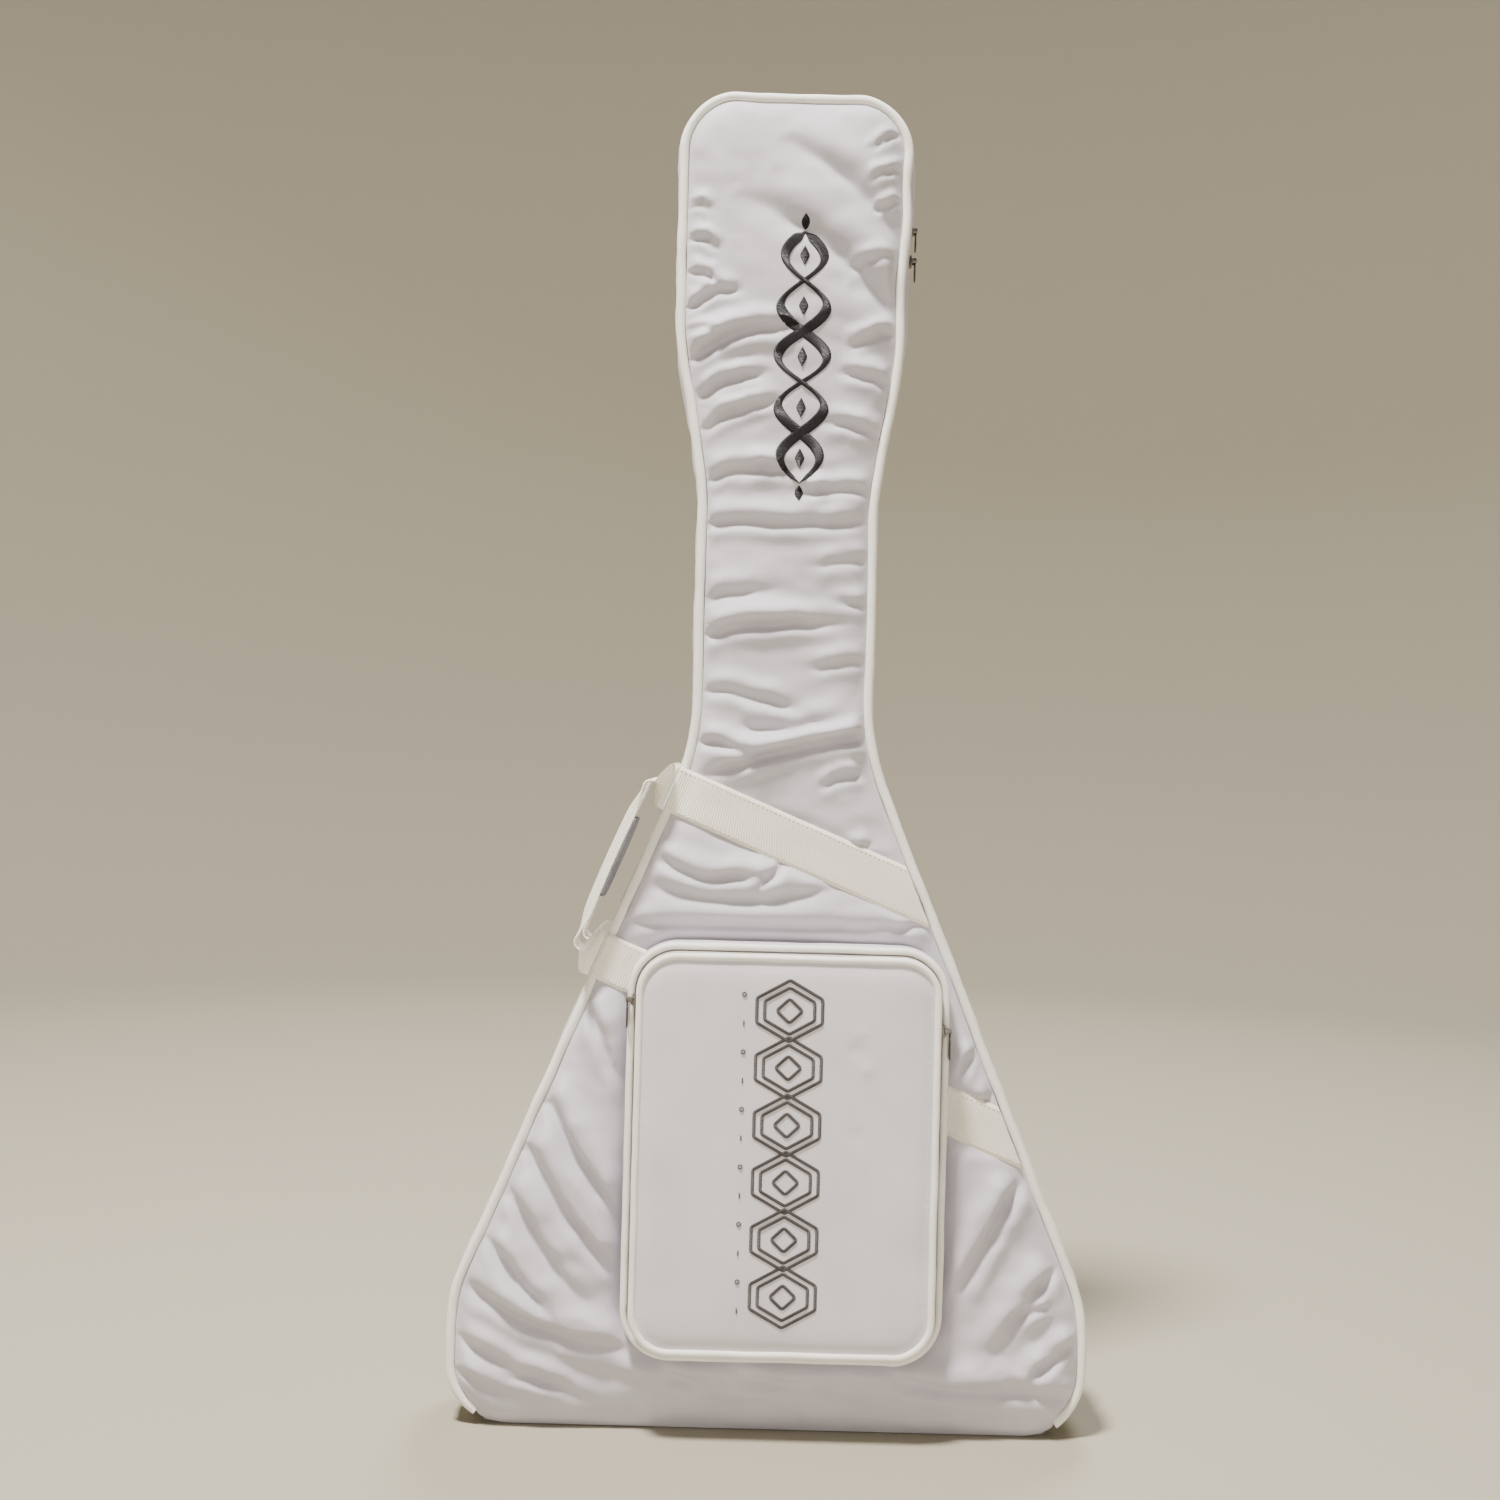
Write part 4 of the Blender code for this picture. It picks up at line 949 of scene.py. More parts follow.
for key, node in (("upper", "back_band_upper"), ("lower", "back_band_lower")):
    reach = np.arange(0.0003, 0.0500, 0.004)
    flat = bandStart[key][None] + wing["across"][None] * reach[:, None]
    centres = spots(flat[:, 0], 0.0396, flat[:, 1])
    acrossDir = np.broadcast_to(np.array((wing["up"][0], 0, wing["up"][1])), centres.shape)
    webStrip("backBand" + key.title(), centres, acrossDir, wing["webHalf"], 0.0021, "back_shell", (node,))
    corner = [(0.010, -0.8), (0.046, -0.8), (0.046, 0.8), (0.010, 0.8), (0.010, -0.8), (0.046, 0.8), (0.046, -0.8),
              (0.010, 0.8)]
    flatBox = np.array([bandStart[key] + wing["across"] * a + wing["up"] * wing["webHalf"] * s for a, s in corner])
    line = spots(flatBox[:, 0], 0.0408, flatBox[:, 1])
    first, last = stitchLine(line, 0.0036)
    stitchRow("backBand" + key.title() + "Stitches", first, last, 0.0007, "back_shell",
              lift=(0, 1, 0))
print("bands")


def handleCentres(level, tilt):
    # lies flat on the band's end, twists a quarter turn over 9 mm, then runs 22 mm off the edge and back
    run2 = (bandStart["upper"] - bandStart["lower"])
    span = float(np.linalg.norm(run2))
    run2 = run2 / span
    out2 = np.array((-run2[1], run2[0]))
    rise = np.concatenate([[0.0008, 0.003, 0.006], 0.006 + 0.009 * np.linspace(0, 1, 15)[1:]])
    twist = np.concatenate([[1, 1, 1], 1 - np.linspace(0, 1, 15)[1:]])
    turn = np.linspace(0, math.pi / 2, 9)[1:]
    along = np.concatenate([np.zeros(len(rise)), 0.006 * (1 - np.cos(turn))])
    off = np.concatenate([rise, 0.015 + 0.007 * np.sin(turn)])
    twist = np.concatenate([twist, np.zeros(8)])
    middle = np.linspace(0.010, span - 0.010, 22)
    bow = 0.0016 * np.sin(math.pi * (middle - 0.01) / (span - 0.02))
    distance = np.concatenate([along, middle, span - along[::-1]])
    off = np.concatenate([off, 0.022 + bow, off[::-1]])
    share = np.concatenate([twist, np.zeros(22), twist[::-1]])
    angle = share * math.pi / 2
    lean = tilt * smooth((distance - 0.004) / 0.03) * smooth((span - 0.004 - distance) / 0.03) * (share == 0)
    sign = np.where(distance < span / 2, 1.0, -1.0)
    place = bandStart["lower"][None] + run2[None] * distance[:, None] + out2[None] * off[:, None]
    centres = spots(place[:, 0], level, place[:, 1])
    inPlane = run2[None] * (np.sin(angle) * sign)[:, None] + out2[None] * np.sin(lean)[:, None]
    across = np.stack([inPlane[:, 0], np.cos(angle) * np.cos(lean), inPlane[:, 1]], 1)
    return centres, across, run2, out2


centres, across, runDir, outDir = handleCentres(-0.0394, math.radians(13))
webStrip("frontHandle", centres, across, wing["webHalf"], 0.0021, "front_handle", ("front_handle",))
centres, across, runDir, outDir = handleCentres(0.0394, 0.0)
webStrip("rearHandle", centres, across, wing["webHalf"], 0.0021, "rear_handle", ("rear_handle",))
gripMiddle = (bandStart["upper"] + bandStart["lower"]) / 2 + outDir * 0.022
share = np.linspace(-1, 1, 27)
ringA, ringB = superRing(1.0, 1.0, 40, 0.42)
fat = 1 - 0.16 * np.abs(share) ** 6 + 0.015 * np.cos(share * 24)
flat = gripMiddle[None] + runDir[None] * (share * 0.0372)[:, None]
grid = np.stack([flat[:, 0:1] + outDir[0] * ringB * 0.0045 * fat[:, None],
                 0.0394 + ringA * 0.0228 * (0.98 + 0.02 * fat[:, None]) + np.zeros((27, 40)),
                 flat[:, 1:2] + outDir[1] * ringB * 0.0045 * fat[:, None]], -1)
finishPiece(editMesh(gridSheet("handleGrip", grid, wrapColumns=True, capped=True)), "rear_handle", gripFoam,
            ("handle_grip",))
print("handles")


strapArc = {"back": 0.038, "top": 0.6, "drop": 0.485, "start": 0.011, "end": 0.0065, "bow": 0.04}


def strapLine(share, x):
    # the strap's middle from the yoke down to the anchor: half a sine wave off the back
    off = strapArc["start"] + (strapArc["end"] - strapArc["start"]) * share + strapArc["bow"] * np.sin(math.pi * share)
    return spots(x, strapArc["back"] + off, strapArc["top"] - strapArc["drop"] * share)


def framed(centres):
    run = np.gradient(centres, axis=0)
    run /= np.linalg.norm(run, axis=1)[:, None]
    return run, np.cross(run, np.array((1.0, 0, 0)))


def shoulderStrap(name, x, body, replaced):
    # padded strap: a crowned section between flat bound edges, pinched by cross seams every 58 mm
    share = np.linspace(0.004, 0.598, 74)
    centres = strapLine(share, x)
    run, normal = framed(centres)
    grow = np.minimum(1, share / 0.12)
    half = 0.021 + 0.009 * grow
    thick = (0.004 + 0.005 * grow) / 2
    seam = np.abs(((share * 485 + 20) % 58) - 29) / 29
    pinch = 1 - 0.34 * np.exp(-(1 - seam) * 16)
    ends = smooth((share - 0.004) / 0.012 + 0.3) * smooth((0.598 - share) / 0.012 + 0.3)
    wide = np.concatenate([np.linspace(-1, 1, 17), np.linspace(1, -1, 17)[1:-1]])
    top = np.concatenate([np.ones(17), -np.ones(15)])
    crown = 0.30 + 0.70 * (1 - np.abs(wide) ** 5)
    crown[[0, 16]] = 0.0
    rise = top[None] * crown[None] * (thick * pinch * ends)[:, None]
    grid = (centres[:, None] + np.array((1.0, 0, 0)) * (wide[None] * half[:, None])[..., None]
            + normal[:, None] * rise[..., None])
    item = editMesh(gridSheet(name, grid, wrapColumns=True, capped=True))
    finishPiece(item, body, whiteNylon, (replaced,))
    for side in (-1, 1):
        edgeLine = centres + np.array((side, 0, 0)) * (half - 0.0008)[:, None]
        turns = np.linspace(0, tau, 9, endpoint=False)
        bead = (edgeLine[:, None] + np.array((1.0, 0, 0)) * (0.0016 * np.cos(turns))[None, :, None]
                + normal[:, None] * (0.0018 * np.sin(turns))[None, :, None])
        label = name + ("BindingLeft" if side < 0 else "BindingRight")
        finishPiece(editMesh(gridSheet(label, bead, wrapColumns=True, capped=True)), body, pipingTape, ())


def mergeBoxes(name, boxes, frameAt, bevel):
    # bars of a moulded part, each a bevelled box in the part's own frame (across, out, along)
    form = bmesh.new()
    origin, axes = frameAt
    for low, high in boxes:
        corners8 = [origin + axes[0] * a + axes[1] * b + axes[2] * c
                    for a in (low[0], high[0]) for b in (low[1], high[1]) for c in (low[2], high[2])]
        points = [form.verts.new(p) for p in corners8]
        for face in ((0, 1, 3, 2), (4, 6, 7, 5), (0, 4, 5, 1), (2, 3, 7, 6), (0, 2, 6, 4), (1, 5, 7, 3)):
            form.faces.new([points[i] for i in face])
    bmesh.ops.recalc_face_normals(form, faces=form.faces)
    bmesh.ops.bevel(form, geom=list(form.edges), offset=bevel, segments=3, profile=0.6, affect="EDGES",
                    clamp_overlap=True)
    mesh = bpy.data.meshes.new(name)
    form.to_mesh(mesh)
    form.free()
    mesh.shade_smooth()
    item = bpy.data.objects.new(name, mesh)
    bpy.context.scene.collection.objects.link(item)
    return item


def ladderLock(name, x, body, replaced):
    # moulded three-bar lock: side rails, two thick end bars and a thin toothed one between
    middle = strapLine(np.array([0.62, 0.625, 0.63]), x)
    run, normal = framed(middle)
    axes = (np.array((1.0, 0, 0)), normal[1], run[1])
    bars = [((-0.019, -0.0026, -0.0118), (-0.0148, 0.0030, 0.0118)), ((0.0148, -0.0026, -0.0118),
            (0.019, 0.0030, 0.0118)), ((-0.0152, -0.0022, -0.0118), (0.0152, 0.0024, -0.0078)),
            ((-0.0152, -0.0010, -0.0022), (0.0152, 0.0034, 0.0018)),
            ((-0.0152, -0.0022, 0.0080), (0.0152, 0.0030, 0.0118))]
    bars += [((-0.0130 + 0.0037 * k, 0.0026, -0.0026), (-0.0114 + 0.0037 * k, 0.0040, 0.0020)) for k in range(8)]
    item = mergeBoxes(name, bars, (middle[1], axes), 0.0007)
    finishPiece(item, body, acetal, (replaced,))


def roundedPad(name, line, y0, y1, crown, body, material, replaced):
    # a padded patch: its height rises as a quarter circle at the rim and then crowns slowly to the middle
    rim = crown["rim"]
    verts, faces = fillOutline(resample(line, 0.0024, True), 0.0024)
    edge = edgeDistance(verts, line)[0]
    edge[edge < 0.0002] = 0.0
    quarter = np.sqrt(np.clip(1 - (1 - np.minimum(edge / rim, 1)) ** 2, 0, 1))
    high = (y1 - y0) * (0.72 * quarter + 0.28 * (1 - np.exp(-edge / crown["reach"])))
    high = high - 0.16 * (y1 - y0) * np.exp(-((edge - crown["seam"]) / 0.0011) ** 2)
    top = np.stack([verts[:, 0], y0 + high, verts[:, 1]], 1)
    back = np.stack([verts[:, 0], np.full(len(verts), y0), verts[:, 1]], 1)
    item = addMesh(name, np.vstack([top, back]), np.vstack([faces, faces[:, ::-1] + len(verts)]))
    return finishPiece(editMesh(item, weld=True), body, material, (replaced,))


def patchLine(low, high, radius, slant=0.0, topRadius=None):
    # the rounded front outline of a node's box, narrower at the top by the slant on both sides
    top = radius if topRadius is None else topRadius
    return roundedLine([(high[0], low[2], radius), (high[0] - slant, high[2], top), (low[0] + slant, high[2], top),
                        (low[0], low[2], radius)])


padCrown = {  # how far in the crown reaches, the rim's radius and the seam's distance from the edge
    "anchor": {"reach": 0.010, "rim": 0.004, "seam": 0.0050},
    "yoke": {"reach": 0.016, "rim": 0.006, "seam": 0.0062},
    "loopPatch": {"reach": 0.008, "rim": 0.0008, "seam": 0.0025},
    "neckPatch": {"reach": 0.008, "rim": 0.0006, "seam": 0.0020},
}
strapSpan = {"apart": 0.04, "webbingStart": 0.633, "webbingEnd": 0.992, "webbingHalf": 0.0125}
for name, side in (("Left", -1), ("Right", 1)):
    x, tail = side * strapSpan["apart"], name.lower()
    shoulderStrap("shoulderStrap" + name, x, "strap_" + tail, "shoulder_strap_" + tail)
    ladderLock("ladderLock" + name, x, "strap_" + tail, "ladder_lock_" + tail)
    centres = strapLine(np.linspace(strapSpan["webbingStart"], strapSpan["webbingEnd"], 40), x)
    webStrip("strapWebbing" + name, centres, np.tile((1.0, 0, 0), (40, 1)), strapSpan["webbingHalf"], 0.0021,
             "strap_" + tail, ("strap_webbing_" + tail,))
    low, high = nodeBox("strap_anchor_" + tail)
    roundedPad("strapAnchor" + name, patchLine(low, high, 0.003), low[1], high[1], padCrown["anchor"], "back_shell",
               whiteNylon, "strap_anchor_" + tail)
low, high = nodeBox("strap_yoke")
roundedPad("strapYoke", patchLine(low, high, 0.006, 0.010, 0.008), low[1], high[1], padCrown["yoke"], "back_shell",
           whiteNylon, "strap_yoke")
yoke = np.array([(-0.056, low[2] + 0.006), (0.056, low[2] + 0.006), (0.048, high[2] - 0.006),
                 (-0.048, high[2] - 0.006), (-0.056, low[2] + 0.006)])
first, last = stitchLine(spots(yoke[:, 0], high[1] - 0.0016, yoke[:, 1]), 0.0036)
stitchRow("strapYokeStitches", first, last, 0.0007, "back_shell", lift=(0, 1, 0))

share = np.linspace(0.06, 0.94, 46)
loop = {"top": 1.14 - 0.065, "drop": 0.045, "depth": 0.0465, "sway": 0.0062}
centres = spots(0.0, loop["depth"] - loop["sway"] * np.sin(tau * share),
                loop["top"] - loop["drop"] * np.sin(math.pi * share))
webStrip("hangLoop", centres, np.tile((1.0, 0, 0), (46, 1)), 0.010, 0.0021, "hang_loop", ("hang_loop",))
low, high = nodeBox("hang_loop_patch")
roundedPad("hangLoopPatch", patchLine(low, high, 0.002), low[1], high[1], padCrown["loopPatch"], "back_shell",
           webbing, "hang_loop_patch")
low, high = nodeBox("neck_strap")
reach = np.linspace(low[0], high[0], 40)
centres = spots(reach, (low[1] + high[1]) / 2 + 0.0002 * np.sin(reach * 160), (low[2] + high[2]) / 2)
webStrip("neckStrap", centres, np.tile((0, 0, 1.0), (40, 1)), (high[2] - low[2]) / 2, high[1] - low[1], "back_shell",
         ("neck_strap",), blackWeb)
low, high = nodeBox("neck_strap_patch")
roundedPad("neckStrapPatch", patchLine(low, high, 0.002), high[1], low[1], padCrown["neckPatch"], "back_shell",
           blackWeb, "neck_strap_patch")
print("straps and back fittings")


pocketPath = makePath(pocketLine, True)
zipPath = openPath(pocketPath, 0.113)
share = np.linspace(0, 1, 9)
run = pocketPath["length"][:, None]
puff = np.sin(math.pi * share) * (0.0009 + 0.0004 * noise(run / 0.02, share * 2, 71))
deep = np.concatenate([0.0006 - puff, np.full_like(puff, 0.0086)], 1)
level = np.concatenate([-0.0385 - 0.0196 * share, (-0.0385 - 0.0196 * share)[::-1]])
finishPiece(editMesh(gridSheet("pocketGusset", carry(pocketPath, deep, level), wrapRows=True, wrapColumns=True)),
            "front_flap", satinNylon, ("pocket_gusset",))
beadTube("pocketOuterPiping", pocketPath, 0.0030, 0.0030, -0.0616, 0.0, "front_flap", "pocket_outer_piping", 72)
beadTube("pocketInnerPiping", pocketPath, 0.0030, 0.0105, -0.0735, 0.0, "pocket_flap", "pocket_inner_piping", 73)
pocketZip = {"inset": (0.0075, 0.0090), "coil": 0.0078, "bead": 0.00055, "pitch": 0.0024}
pocketZipSides = (("Rear", "front_flap", (-0.0586, -0.0639), -0.0641),
                  ("Front", "pocket_flap", (-0.0657, -0.0702), -0.0654))
for name, body, edges, teeth in pocketZipSides:
    zipTapeStrip("pocket" + name + "ZipTape", zipPath, pocketZip["inset"], edges, body,
                 "pocket_" + name.lower() + "_zip_tape")
for name, body, edges, teeth in pocketZipSides:
    zipCoil("pocket" + name + "ZipCoil", zipPath, pocketZip["coil"], teeth, pocketZip["bead"], pocketZip["pitch"], body)


def pocketPanel():
    # thin foam under taut satin: a low crown, a stitched dip round the rim and a few dents from handling
    line = resample(pocketLine + pocketPath["inward"] * 0.0127, 0.0046, True)
    verts, faces = fillOutline(line, 0.0046)
    x, z = verts[:, 0], verts[:, 1]
    edge = edgeDistance(verts, line)[0]
    edge[:len(line)] = 0
    high = 0.0030 * (1 - np.exp(-edge / 0.009)) - 0.0008 * np.exp(-((edge - 0.004) / 0.0028) ** 2)
    high += 0.0005 * noise(x / 0.06, z / 0.05, 74) * smooth(edge / 0.02)
    for dentX, dentZ, size, depth in ((0.067, 0.333, 0.0065, 0.0011), (0.078, 0.318, 0.0055, -0.0009),
                                      (0.072, 0.349, 0.0050, -0.0006), (0.070, 0.262, 0.0080, 0.0006)):
        high -= depth * np.exp(-((x - dentX) ** 2 + (z - dentZ) ** 2) / size ** 2)
    place = spots(x, -0.0741 - high, z)
    item = addMesh("pocketPanel", place, faces)
    subdivide(item)
    finishPiece(item, "pocket_flap", satinNylon, ("pocket_panel",))
    return place


panelPlace = pocketPanel()
liningLow, liningHigh = nodeBox("pocket_lining")
line = resample(pocketLine + pocketPath["inward"] * float(liningLow[0] - pocketLine[:, 0].min()), 0.009, True)
verts, faces = fillOutline(line, 0.010)
soft = 0.0005 * noise(verts[:, 0] / 0.05, verts[:, 1] / 0.04, 75)
item = addMesh("pocketLining", spots(verts[:, 0], liningHigh[1] - 0.0004 + soft, verts[:, 1]), faces[:, ::-1])
addPile(item, 0.0011)
finishPiece(item, "pocket_flap", plush, ("pocket_lining",))
print("pocket")


def zipEndTab(name, side, replaced):
    # folded tape over the end of the main zip: it follows the base corner and stands a little proud
    points = bagOutline["points"]
    keep = (points[:, 0] * side > 0.2300) & (points[:, 1] > 0.0066) & (points[:, 1] < 0.0262)
    keep &= np.abs(points[:, 0]) > 0.244
    part = np.flatnonzero(keep)
    path = {"points": points[part], "inward": bagOutline["inward"][part]}
    half = 0.0118
    wide = np.concatenate([np.linspace(-1, 1, 13), np.linspace(1, -1, 13)])
    ribs = 0.00025 * np.cos(wide * 22)
    deep = np.where(np.arange(26) < 13, -0.0019 - ribs, -0.0002) * (1 - 0.5 * np.abs(wide) ** 16)
    grid = carry(path, deep, wide * half)
    item = editMesh(gridSheet(name, grid, wrapColumns=True, capped=True))
    return finishPiece(item, "back_shell", pipingTape, (replaced,))


zipEndTab("zipEndTabLeft", -1, "zip_end_tab_left")
zipEndTab("zipEndTabRight", 1, "zip_end_tab_right")


def zipSlider(name, node, side, body):
    # die-cast slider: a wedge-nosed body on the coil, two ears and the pin that the pull hangs on
    low, high = nodeBox(node)
    foot = low[0] if side > 0 else high[0]
    height, half = high[0] - low[0], (high[1] - low[1]) / 2
    plate = 0.36 * height
    origin = np.array((foot, (low[1] + high[1]) / 2, (low[2] + high[2]) / 2))
    axes = (np.array((0, 1.0, 0)), np.array((side, 0, 0)), np.array((0, 0, 1.0)))
    length = (high[2] - low[2]) / 2
    bars = [((-half, 0, -length), (half, plate, length * 0.45)), ((-half * 0.72, 0.0002, length * 0.2),
            (half * 0.72, plate * 0.92, length)),
            ((-half, plate * 0.5, -length * 0.42), (-half * 0.72, height, length * 0.42)),
            ((half * 0.72, plate * 0.5, -length * 0.42), (half, height, length * 0.42)),
            ((-half * 0.8, height - 0.0014, -0.0006), (half * 0.8, height - 0.0003, 0.0006)),
            ((-half * 0.55, plate * 0.8, -length * 0.8), (half * 0.55, plate * 1.35, -length * 0.5))]
    item = mergeBoxes(name, bars, (origin, axes), 0.00035)
    return finishPiece(item, body, gunmetal, (node,))


def ringPlate(outer, inner, thick):
    # a flat ring between two loops of equal count, its edges rounded; returns across, along and height
    share = np.array([0, 0, 0.18, 0.82, 1, 1, 0.82, 0.18])
    height = np.array([-0.55, 0.55, 1, 1, 0.55, -0.55, -1, -1]) * thick / 2
    flat = outer[:, None] * (1 - share)[None, :, None] + inner[:, None] * share[None, :, None]
    return flat, np.broadcast_to(height, flat.shape[:2])


def zipPull(name, node, side, body):
    # stamped pull: a slotted neck round the pin above a longer slotted blade
    low, high = nodeBox(node)
    middle = (low + high) / 2
    thick, half, top, bottom = high[0] - low[0], (high[1] - low[1]) / 2, high[2], low[2]
    pieces = []
    split = top - 0.0068
    for outerHalf, innerHalf, high1, low1, rim in ((half * 0.84, half * 0.42, top, split, 0.0013),
                                                   (half, half * 0.46, split + 0.0008, bottom, 0.0026)):
        centre, tall = (high1 + low1) / 2, (high1 - low1) / 2
        outerY, outerZ = superRing(outerHalf, tall, 40, 0.45)
        innerY, innerZ = superRing(innerHalf, tall - rim, 40, 0.6)
        flat, height = ringPlate(np.stack([outerY, outerZ], 1), np.stack([innerY, innerZ], 1), thick)
        pieces.append(spots(middle[0] + side * height, middle[1] + flat[..., 0], centre + flat[..., 1]))
    verts = np.concatenate([piece.reshape(-1, 3) for piece in pieces])
    faces = np.concatenate([gridFaces(40, 8, True, True), gridFaces(40, 8, True, True) + 320])
    item = editMesh(addMixed(name, verts, faces, np.zeros((len(verts), 2))))
    return finishPiece(item, body, gunmetal, (node,))


for label, node, side in (("mainUpper", "main_upper", 1), ("mainLower", "main_lower", 1),
                          ("pocketLeft", "pocket_left", -1), ("pocketRight", "pocket_right", 1)):
    zipSlider(label + "Slider", node + "_slider", side, node + "_slider")
    zipPull(label + "Pull", node + "_pull", side, node + "_pull")
print("zip sliders")


def threadStroke(name, lines, raised, ground, body, material):
    # satin stitch: a half-round ridge of thread along each line, laid on the cloth under it
    wide = np.linspace(-1, 1, 9)
    arch = np.sqrt(1 - wide ** 2)
    allVerts, allFaces, allUv, offset = [], [], [], 0
    for points, halfWidth, closed, lift in lines:
        path = makePath(points, closed)
        halfWidth = np.broadcast_to(halfWidth, (len(points),))
        top = points[:, None] + path["inward"][:, None] * (wide[None] * halfWidth[:, None])[..., None]
        under = top[:, ::-1][:, 1:-1]
        flat = np.concatenate([top, under], 1)
        base = heightAt(flat.reshape(-1, 2), *ground).reshape(flat.shape[:2])
        rise = np.concatenate([arch * raised, np.full(7, -0.0005)])
        y = base - 0.0003 - lift - rise
        grid = spots(flat[..., 0], y, flat[..., 1])
        rows, columns = grid.shape[:2]
        faces = gridFaces(rows, columns, closed, True)
        run = path["length"] if len(path["length"]) == rows else path["length"][:rows]
        uv = np.stack([np.broadcast_to(run[:, None], (rows, columns)),
                       np.broadcast_to(np.linspace(0, 0.01, columns)[None], (rows, columns))], -1).reshape(-1, 2)
        verts = grid.reshape(-1, 3)
        if not closed:
            ring, middle, start = np.arange(columns), rows * columns, (rows - 1) * columns
            after = (ring + 1) % columns
            first = spots(ring, after, middle)
            last = spots(after + start, ring + start, middle + 1)
            verts = np.vstack([verts, grid[0].mean(0), grid[-1].mean(0)])
            uv = np.vstack([uv, uv[:1], uv[-1:]])
            caps = np.vstack([first, last])
            faces = np.vstack([faces, caps[:, [0, 1, 2, 2]]])
        allVerts.append(verts)
        allUv.append(uv)
        allFaces.append(faces + offset)
        offset += len(verts)
    item = addMixed(name, np.vstack(allVerts), np.vstack(allFaces), np.vstack(allUv))
    editMesh(item)
    return finishPiece(item, body, material, ())


emblem = {"x": 0.0085, "low": 0.806, "high": 1.020, "sway": 0.0205, "turns": 2.5, "thin": 0.0019, "thick": 0.0046}


def neckEmblem():
    # two ribbons that wind round each other, a lozenge in each eye and a leaf at both ends
    share = np.linspace(0, 1, 170)
    z = emblem["low"] + (emblem["high"] - emblem["low"]) * share
    grow = 0.72 + 0.28 * np.sin(math.pi * share)
    lines = []
    for sign, lift in ((1, 0.0), (-1, 0.0003)):
        x = emblem["x"] + sign * emblem["sway"] * np.sin(tau * emblem["turns"] * share) * grow
        points = resample(np.stack([x, z], 1), 0.0011, False)
        path = makePath(points, False)
        slant = np.abs(path["inward"][:, 0] * 0.8 + sign * path["inward"][:, 1] * 0.6)
        taper = smooth(np.minimum(np.arange(len(points)), np.arange(len(points))[::-1]) / 9.0)
        half = (emblem["thin"] + (emblem["thick"] - emblem["thin"]) * slant ** 1.5) * (0.25 + 0.75 * taper)
        lines.append((points, half, False, lift))
    for k in range(5):
        centre = emblem["low"] + (emblem["high"] - emblem["low"]) * (k + 0.5) / 5
        reach = 0.0082
        points = np.stack([np.full(12, emblem["x"]), centre + np.linspace(-reach, reach, 12)], 1)
        lines.append((points, 0.0040 * (1 - np.abs(np.linspace(-1, 1, 12)) ** 1.2) + 0.0002, False, 0.0))
    for end, way in ((emblem["low"] - 0.002, -1), (emblem["high"] + 0.002, 1)):
        points = np.stack([np.full(12, emblem["x"]), end + way * np.linspace(0, 0.012, 12)], 1)
        lines.append((points, 0.0036 * np.sin(np.linspace(0.15, math.pi - 0.1, 12)), False, 0.0))
    return lines


motif = {"x": 0.0115, "low": 0.128, "step": 0.0474, "count": 6, "half": 0.0272, "tall": 0.0254, "stroke": 0.0014}


def pocketMotif():
    # a chain of six outlined hexagons with lozenges in them, and a column of small rings and bars beside it
    lines = []
    for k in range(motif["count"]):
        z = motif["low"] + motif["step"] * k
        for scale, knee in ((1.0, 0.40), (0.76, 0.40), (0.40, 0)):
            wide, tall = motif["half"] * scale, motif["tall"] * scale
            if knee:
                shape = [(0, -tall), (wide, -tall * knee), (wide, tall * knee), (0, tall), (-wide, tall * knee),
                         (-wide, -tall * knee)]
            else:
                shape = [(0, -tall), (wide, 0), (0, tall), (-wide, 0)]
            line = resample(roundedLine([(motif["x"] + a, z + b, 0.0022) for a, b in shape], 0.0006), 0.0012, True)
            lines.append((line, motif["stroke"], True, 0.0002 * (k % 2)))
    for k in range(12):
        z = 0.116 + 0.0238 * k
        if k % 2:
            turns = np.linspace(0, tau, 16, endpoint=False)
            lines.append((np.stack([-0.0262 + 0.0017 * np.cos(turns), z + 0.0017 * np.sin(turns)], 1), 0.00045, True,
                          0.0))
        else:
            lines.append((np.stack([np.full(6, -0.0262), z + np.linspace(-0.0021, 0.0021, 6)], 1), 0.0006, False, 0.0))
    return lines


threadStroke("neckEmblem", neckEmblem(), 0.0008, (frontPlace[:, [0, 2]], frontPlace[:, 1]), "front_flap", blackThread)
threadStroke("pocketMotif", pocketMotif(), 0.0006, (panelPlace[:, [0, 2]], panelPlace[:, 1]), "pocket_flap",
             greyThread)
print("embroidery")


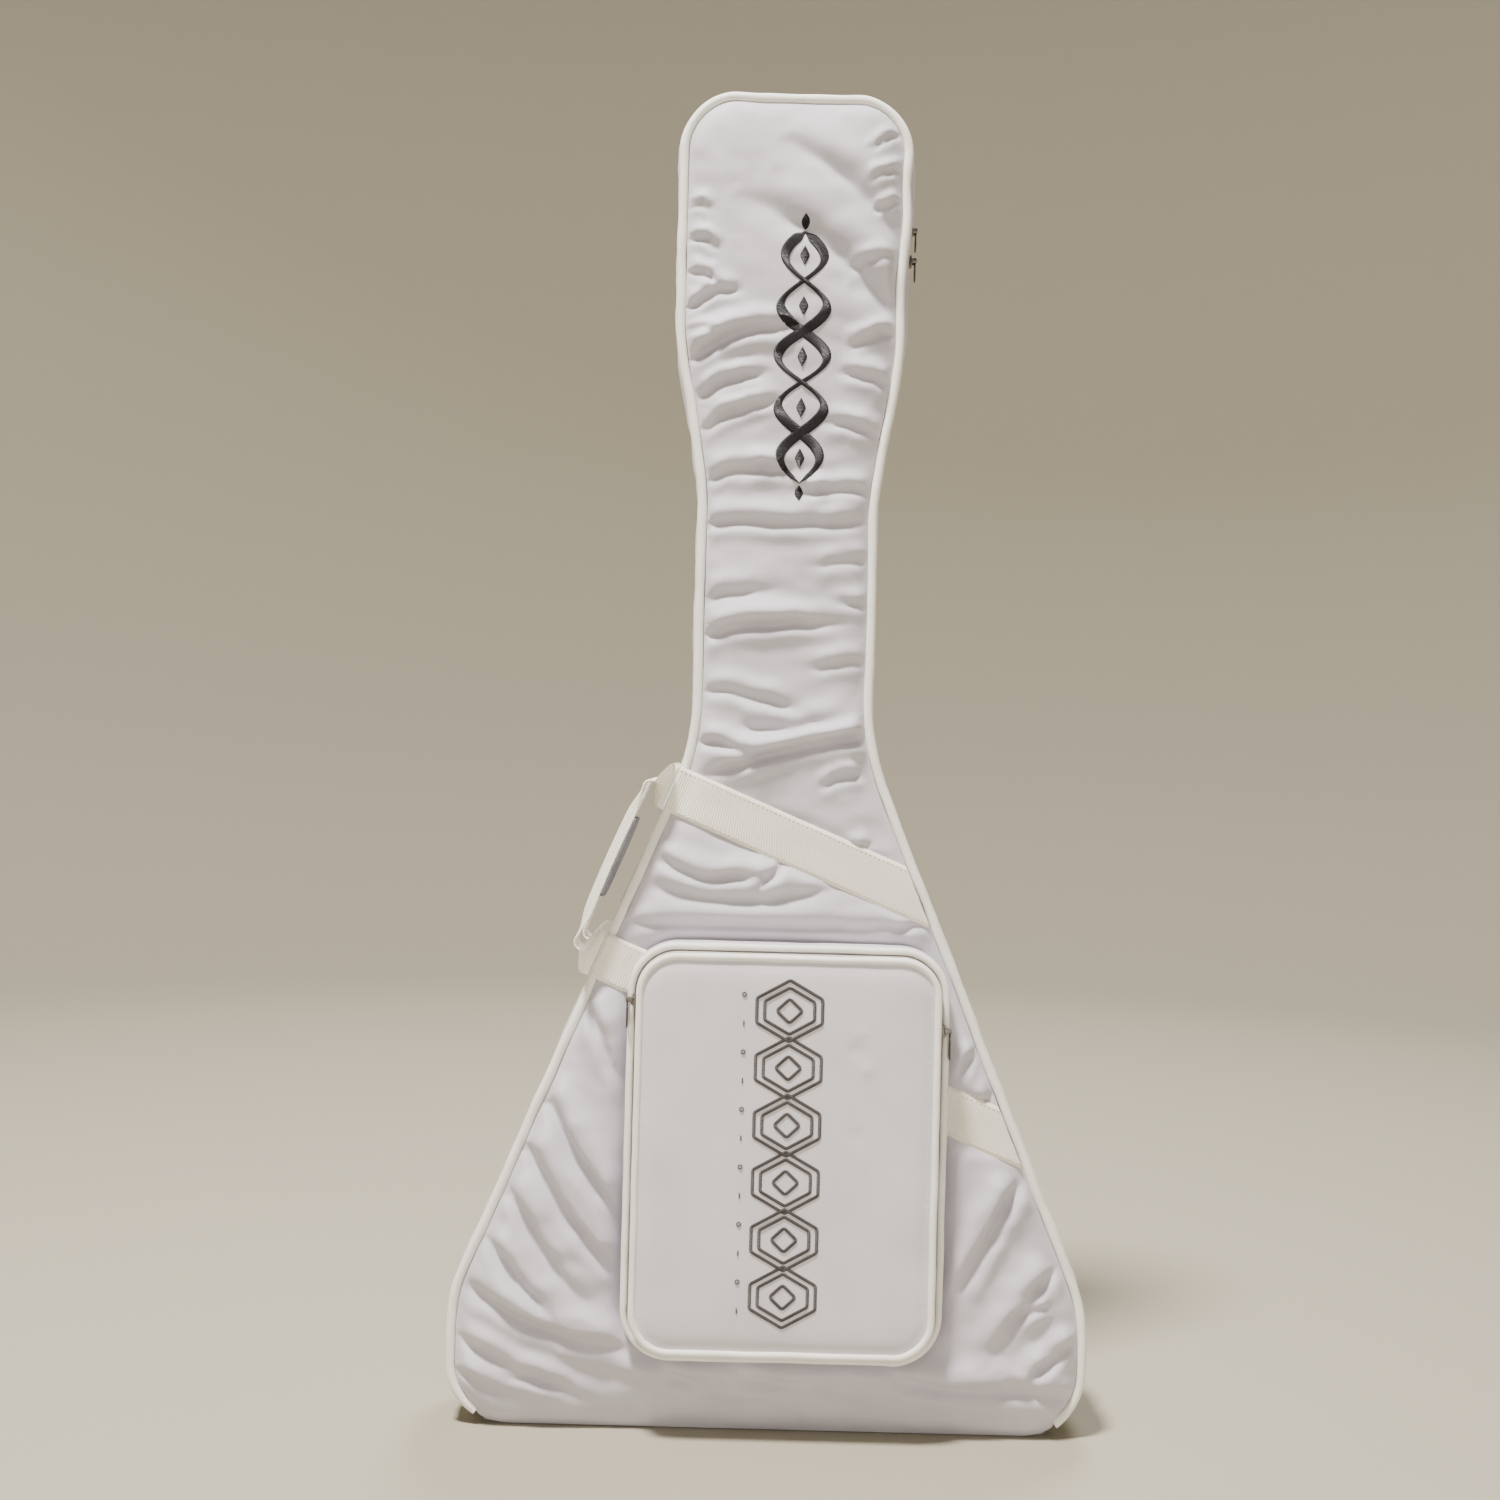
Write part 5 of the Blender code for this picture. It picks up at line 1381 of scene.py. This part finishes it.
def areaLight(name, place, target, size, power, colour):
    data = bpy.data.lights.new(name, "AREA")
    data.shape = "DISK"
    data.size = size
    data.energy = power
    data.color = colour
    item = bpy.data.objects.new(name, data)
    bpy.context.scene.collection.objects.link(item)
    item.location = place
    item.rotation_euler = (Vector(target) - Vector(place)).to_track_quat("-Z", "Y").to_euler()


view = {"place": (-0.027, -1.525, 0.580), "lens": 42, "roll": 1.5}
lamps = {  # place, target, width, power and colour
    "topLight": ((-0.85, -1.15, 4.1), (0, -0.05, 0.50), 0.6, 455, (1.0, 0.950, 0.885)),
    "fillLight": ((0.5, -2.9, 0.5), (0, 0, 0.2), 1.6, 28, (1.0, 0.98, 0.96)),
    "backLight": ((0.6, 1.9, 3.4), (0, 0.05, 0.55), 1.2, 120, (1.0, 0.98, 0.95)),
}
bowl = {"flat": 3.0, "bend": 1.6, "high": 5.0}


def studio():
    # a pale bowl: a flat floor that curves up into a wall all round, the same from every side
    turn = np.linspace(0.05, math.pi / 2, 16)
    radius = np.concatenate([np.linspace(0.001, bowl["flat"], 12), bowl["flat"] + bowl["bend"] * np.sin(turn),
                             [bowl["flat"] + bowl["bend"]]])
    height = np.concatenate([np.zeros(12), bowl["bend"] * (1 - np.cos(turn)), [bowl["high"]]])
    turns = np.linspace(0, tau, 64, endpoint=False)
    grid = spots(radius[:, None] * np.cos(turns), radius[:, None] * np.sin(turns), height[:, None])
    floor = gridSheet("studioFloor", grid, wrapColumns=True)
    material, tree, shader = newMaterial("paleFloorPaint", Roughness=0.9)
    shader.inputs["Base Color"].default_value = linear("#A19B8B")
    floor.data.materials.append(material)
    world = bpy.data.worlds.new("studioWorld")
    bpy.context.scene.world = world
    world.use_nodes = True
    world.node_tree.nodes["Background"].inputs["Color"].default_value = linear("#E9E4DA")
    world.node_tree.nodes["Background"].inputs["Strength"].default_value = 0.17
    for name, values in lamps.items():
        areaLight(name, *values)
    data = bpy.data.cameras.new("camera")
    data.lens = view["lens"]
    data.sensor_width = 36
    camera = bpy.data.objects.new("camera", data)
    bpy.context.scene.collection.objects.link(camera)
    camera.location = view["place"]
    camera.rotation_euler = (math.radians(90), 0, 0)
    camera.rotation_euler.rotate_axis("Z", math.radians(view["roll"]))
    bpy.context.scene.camera = camera


studio()
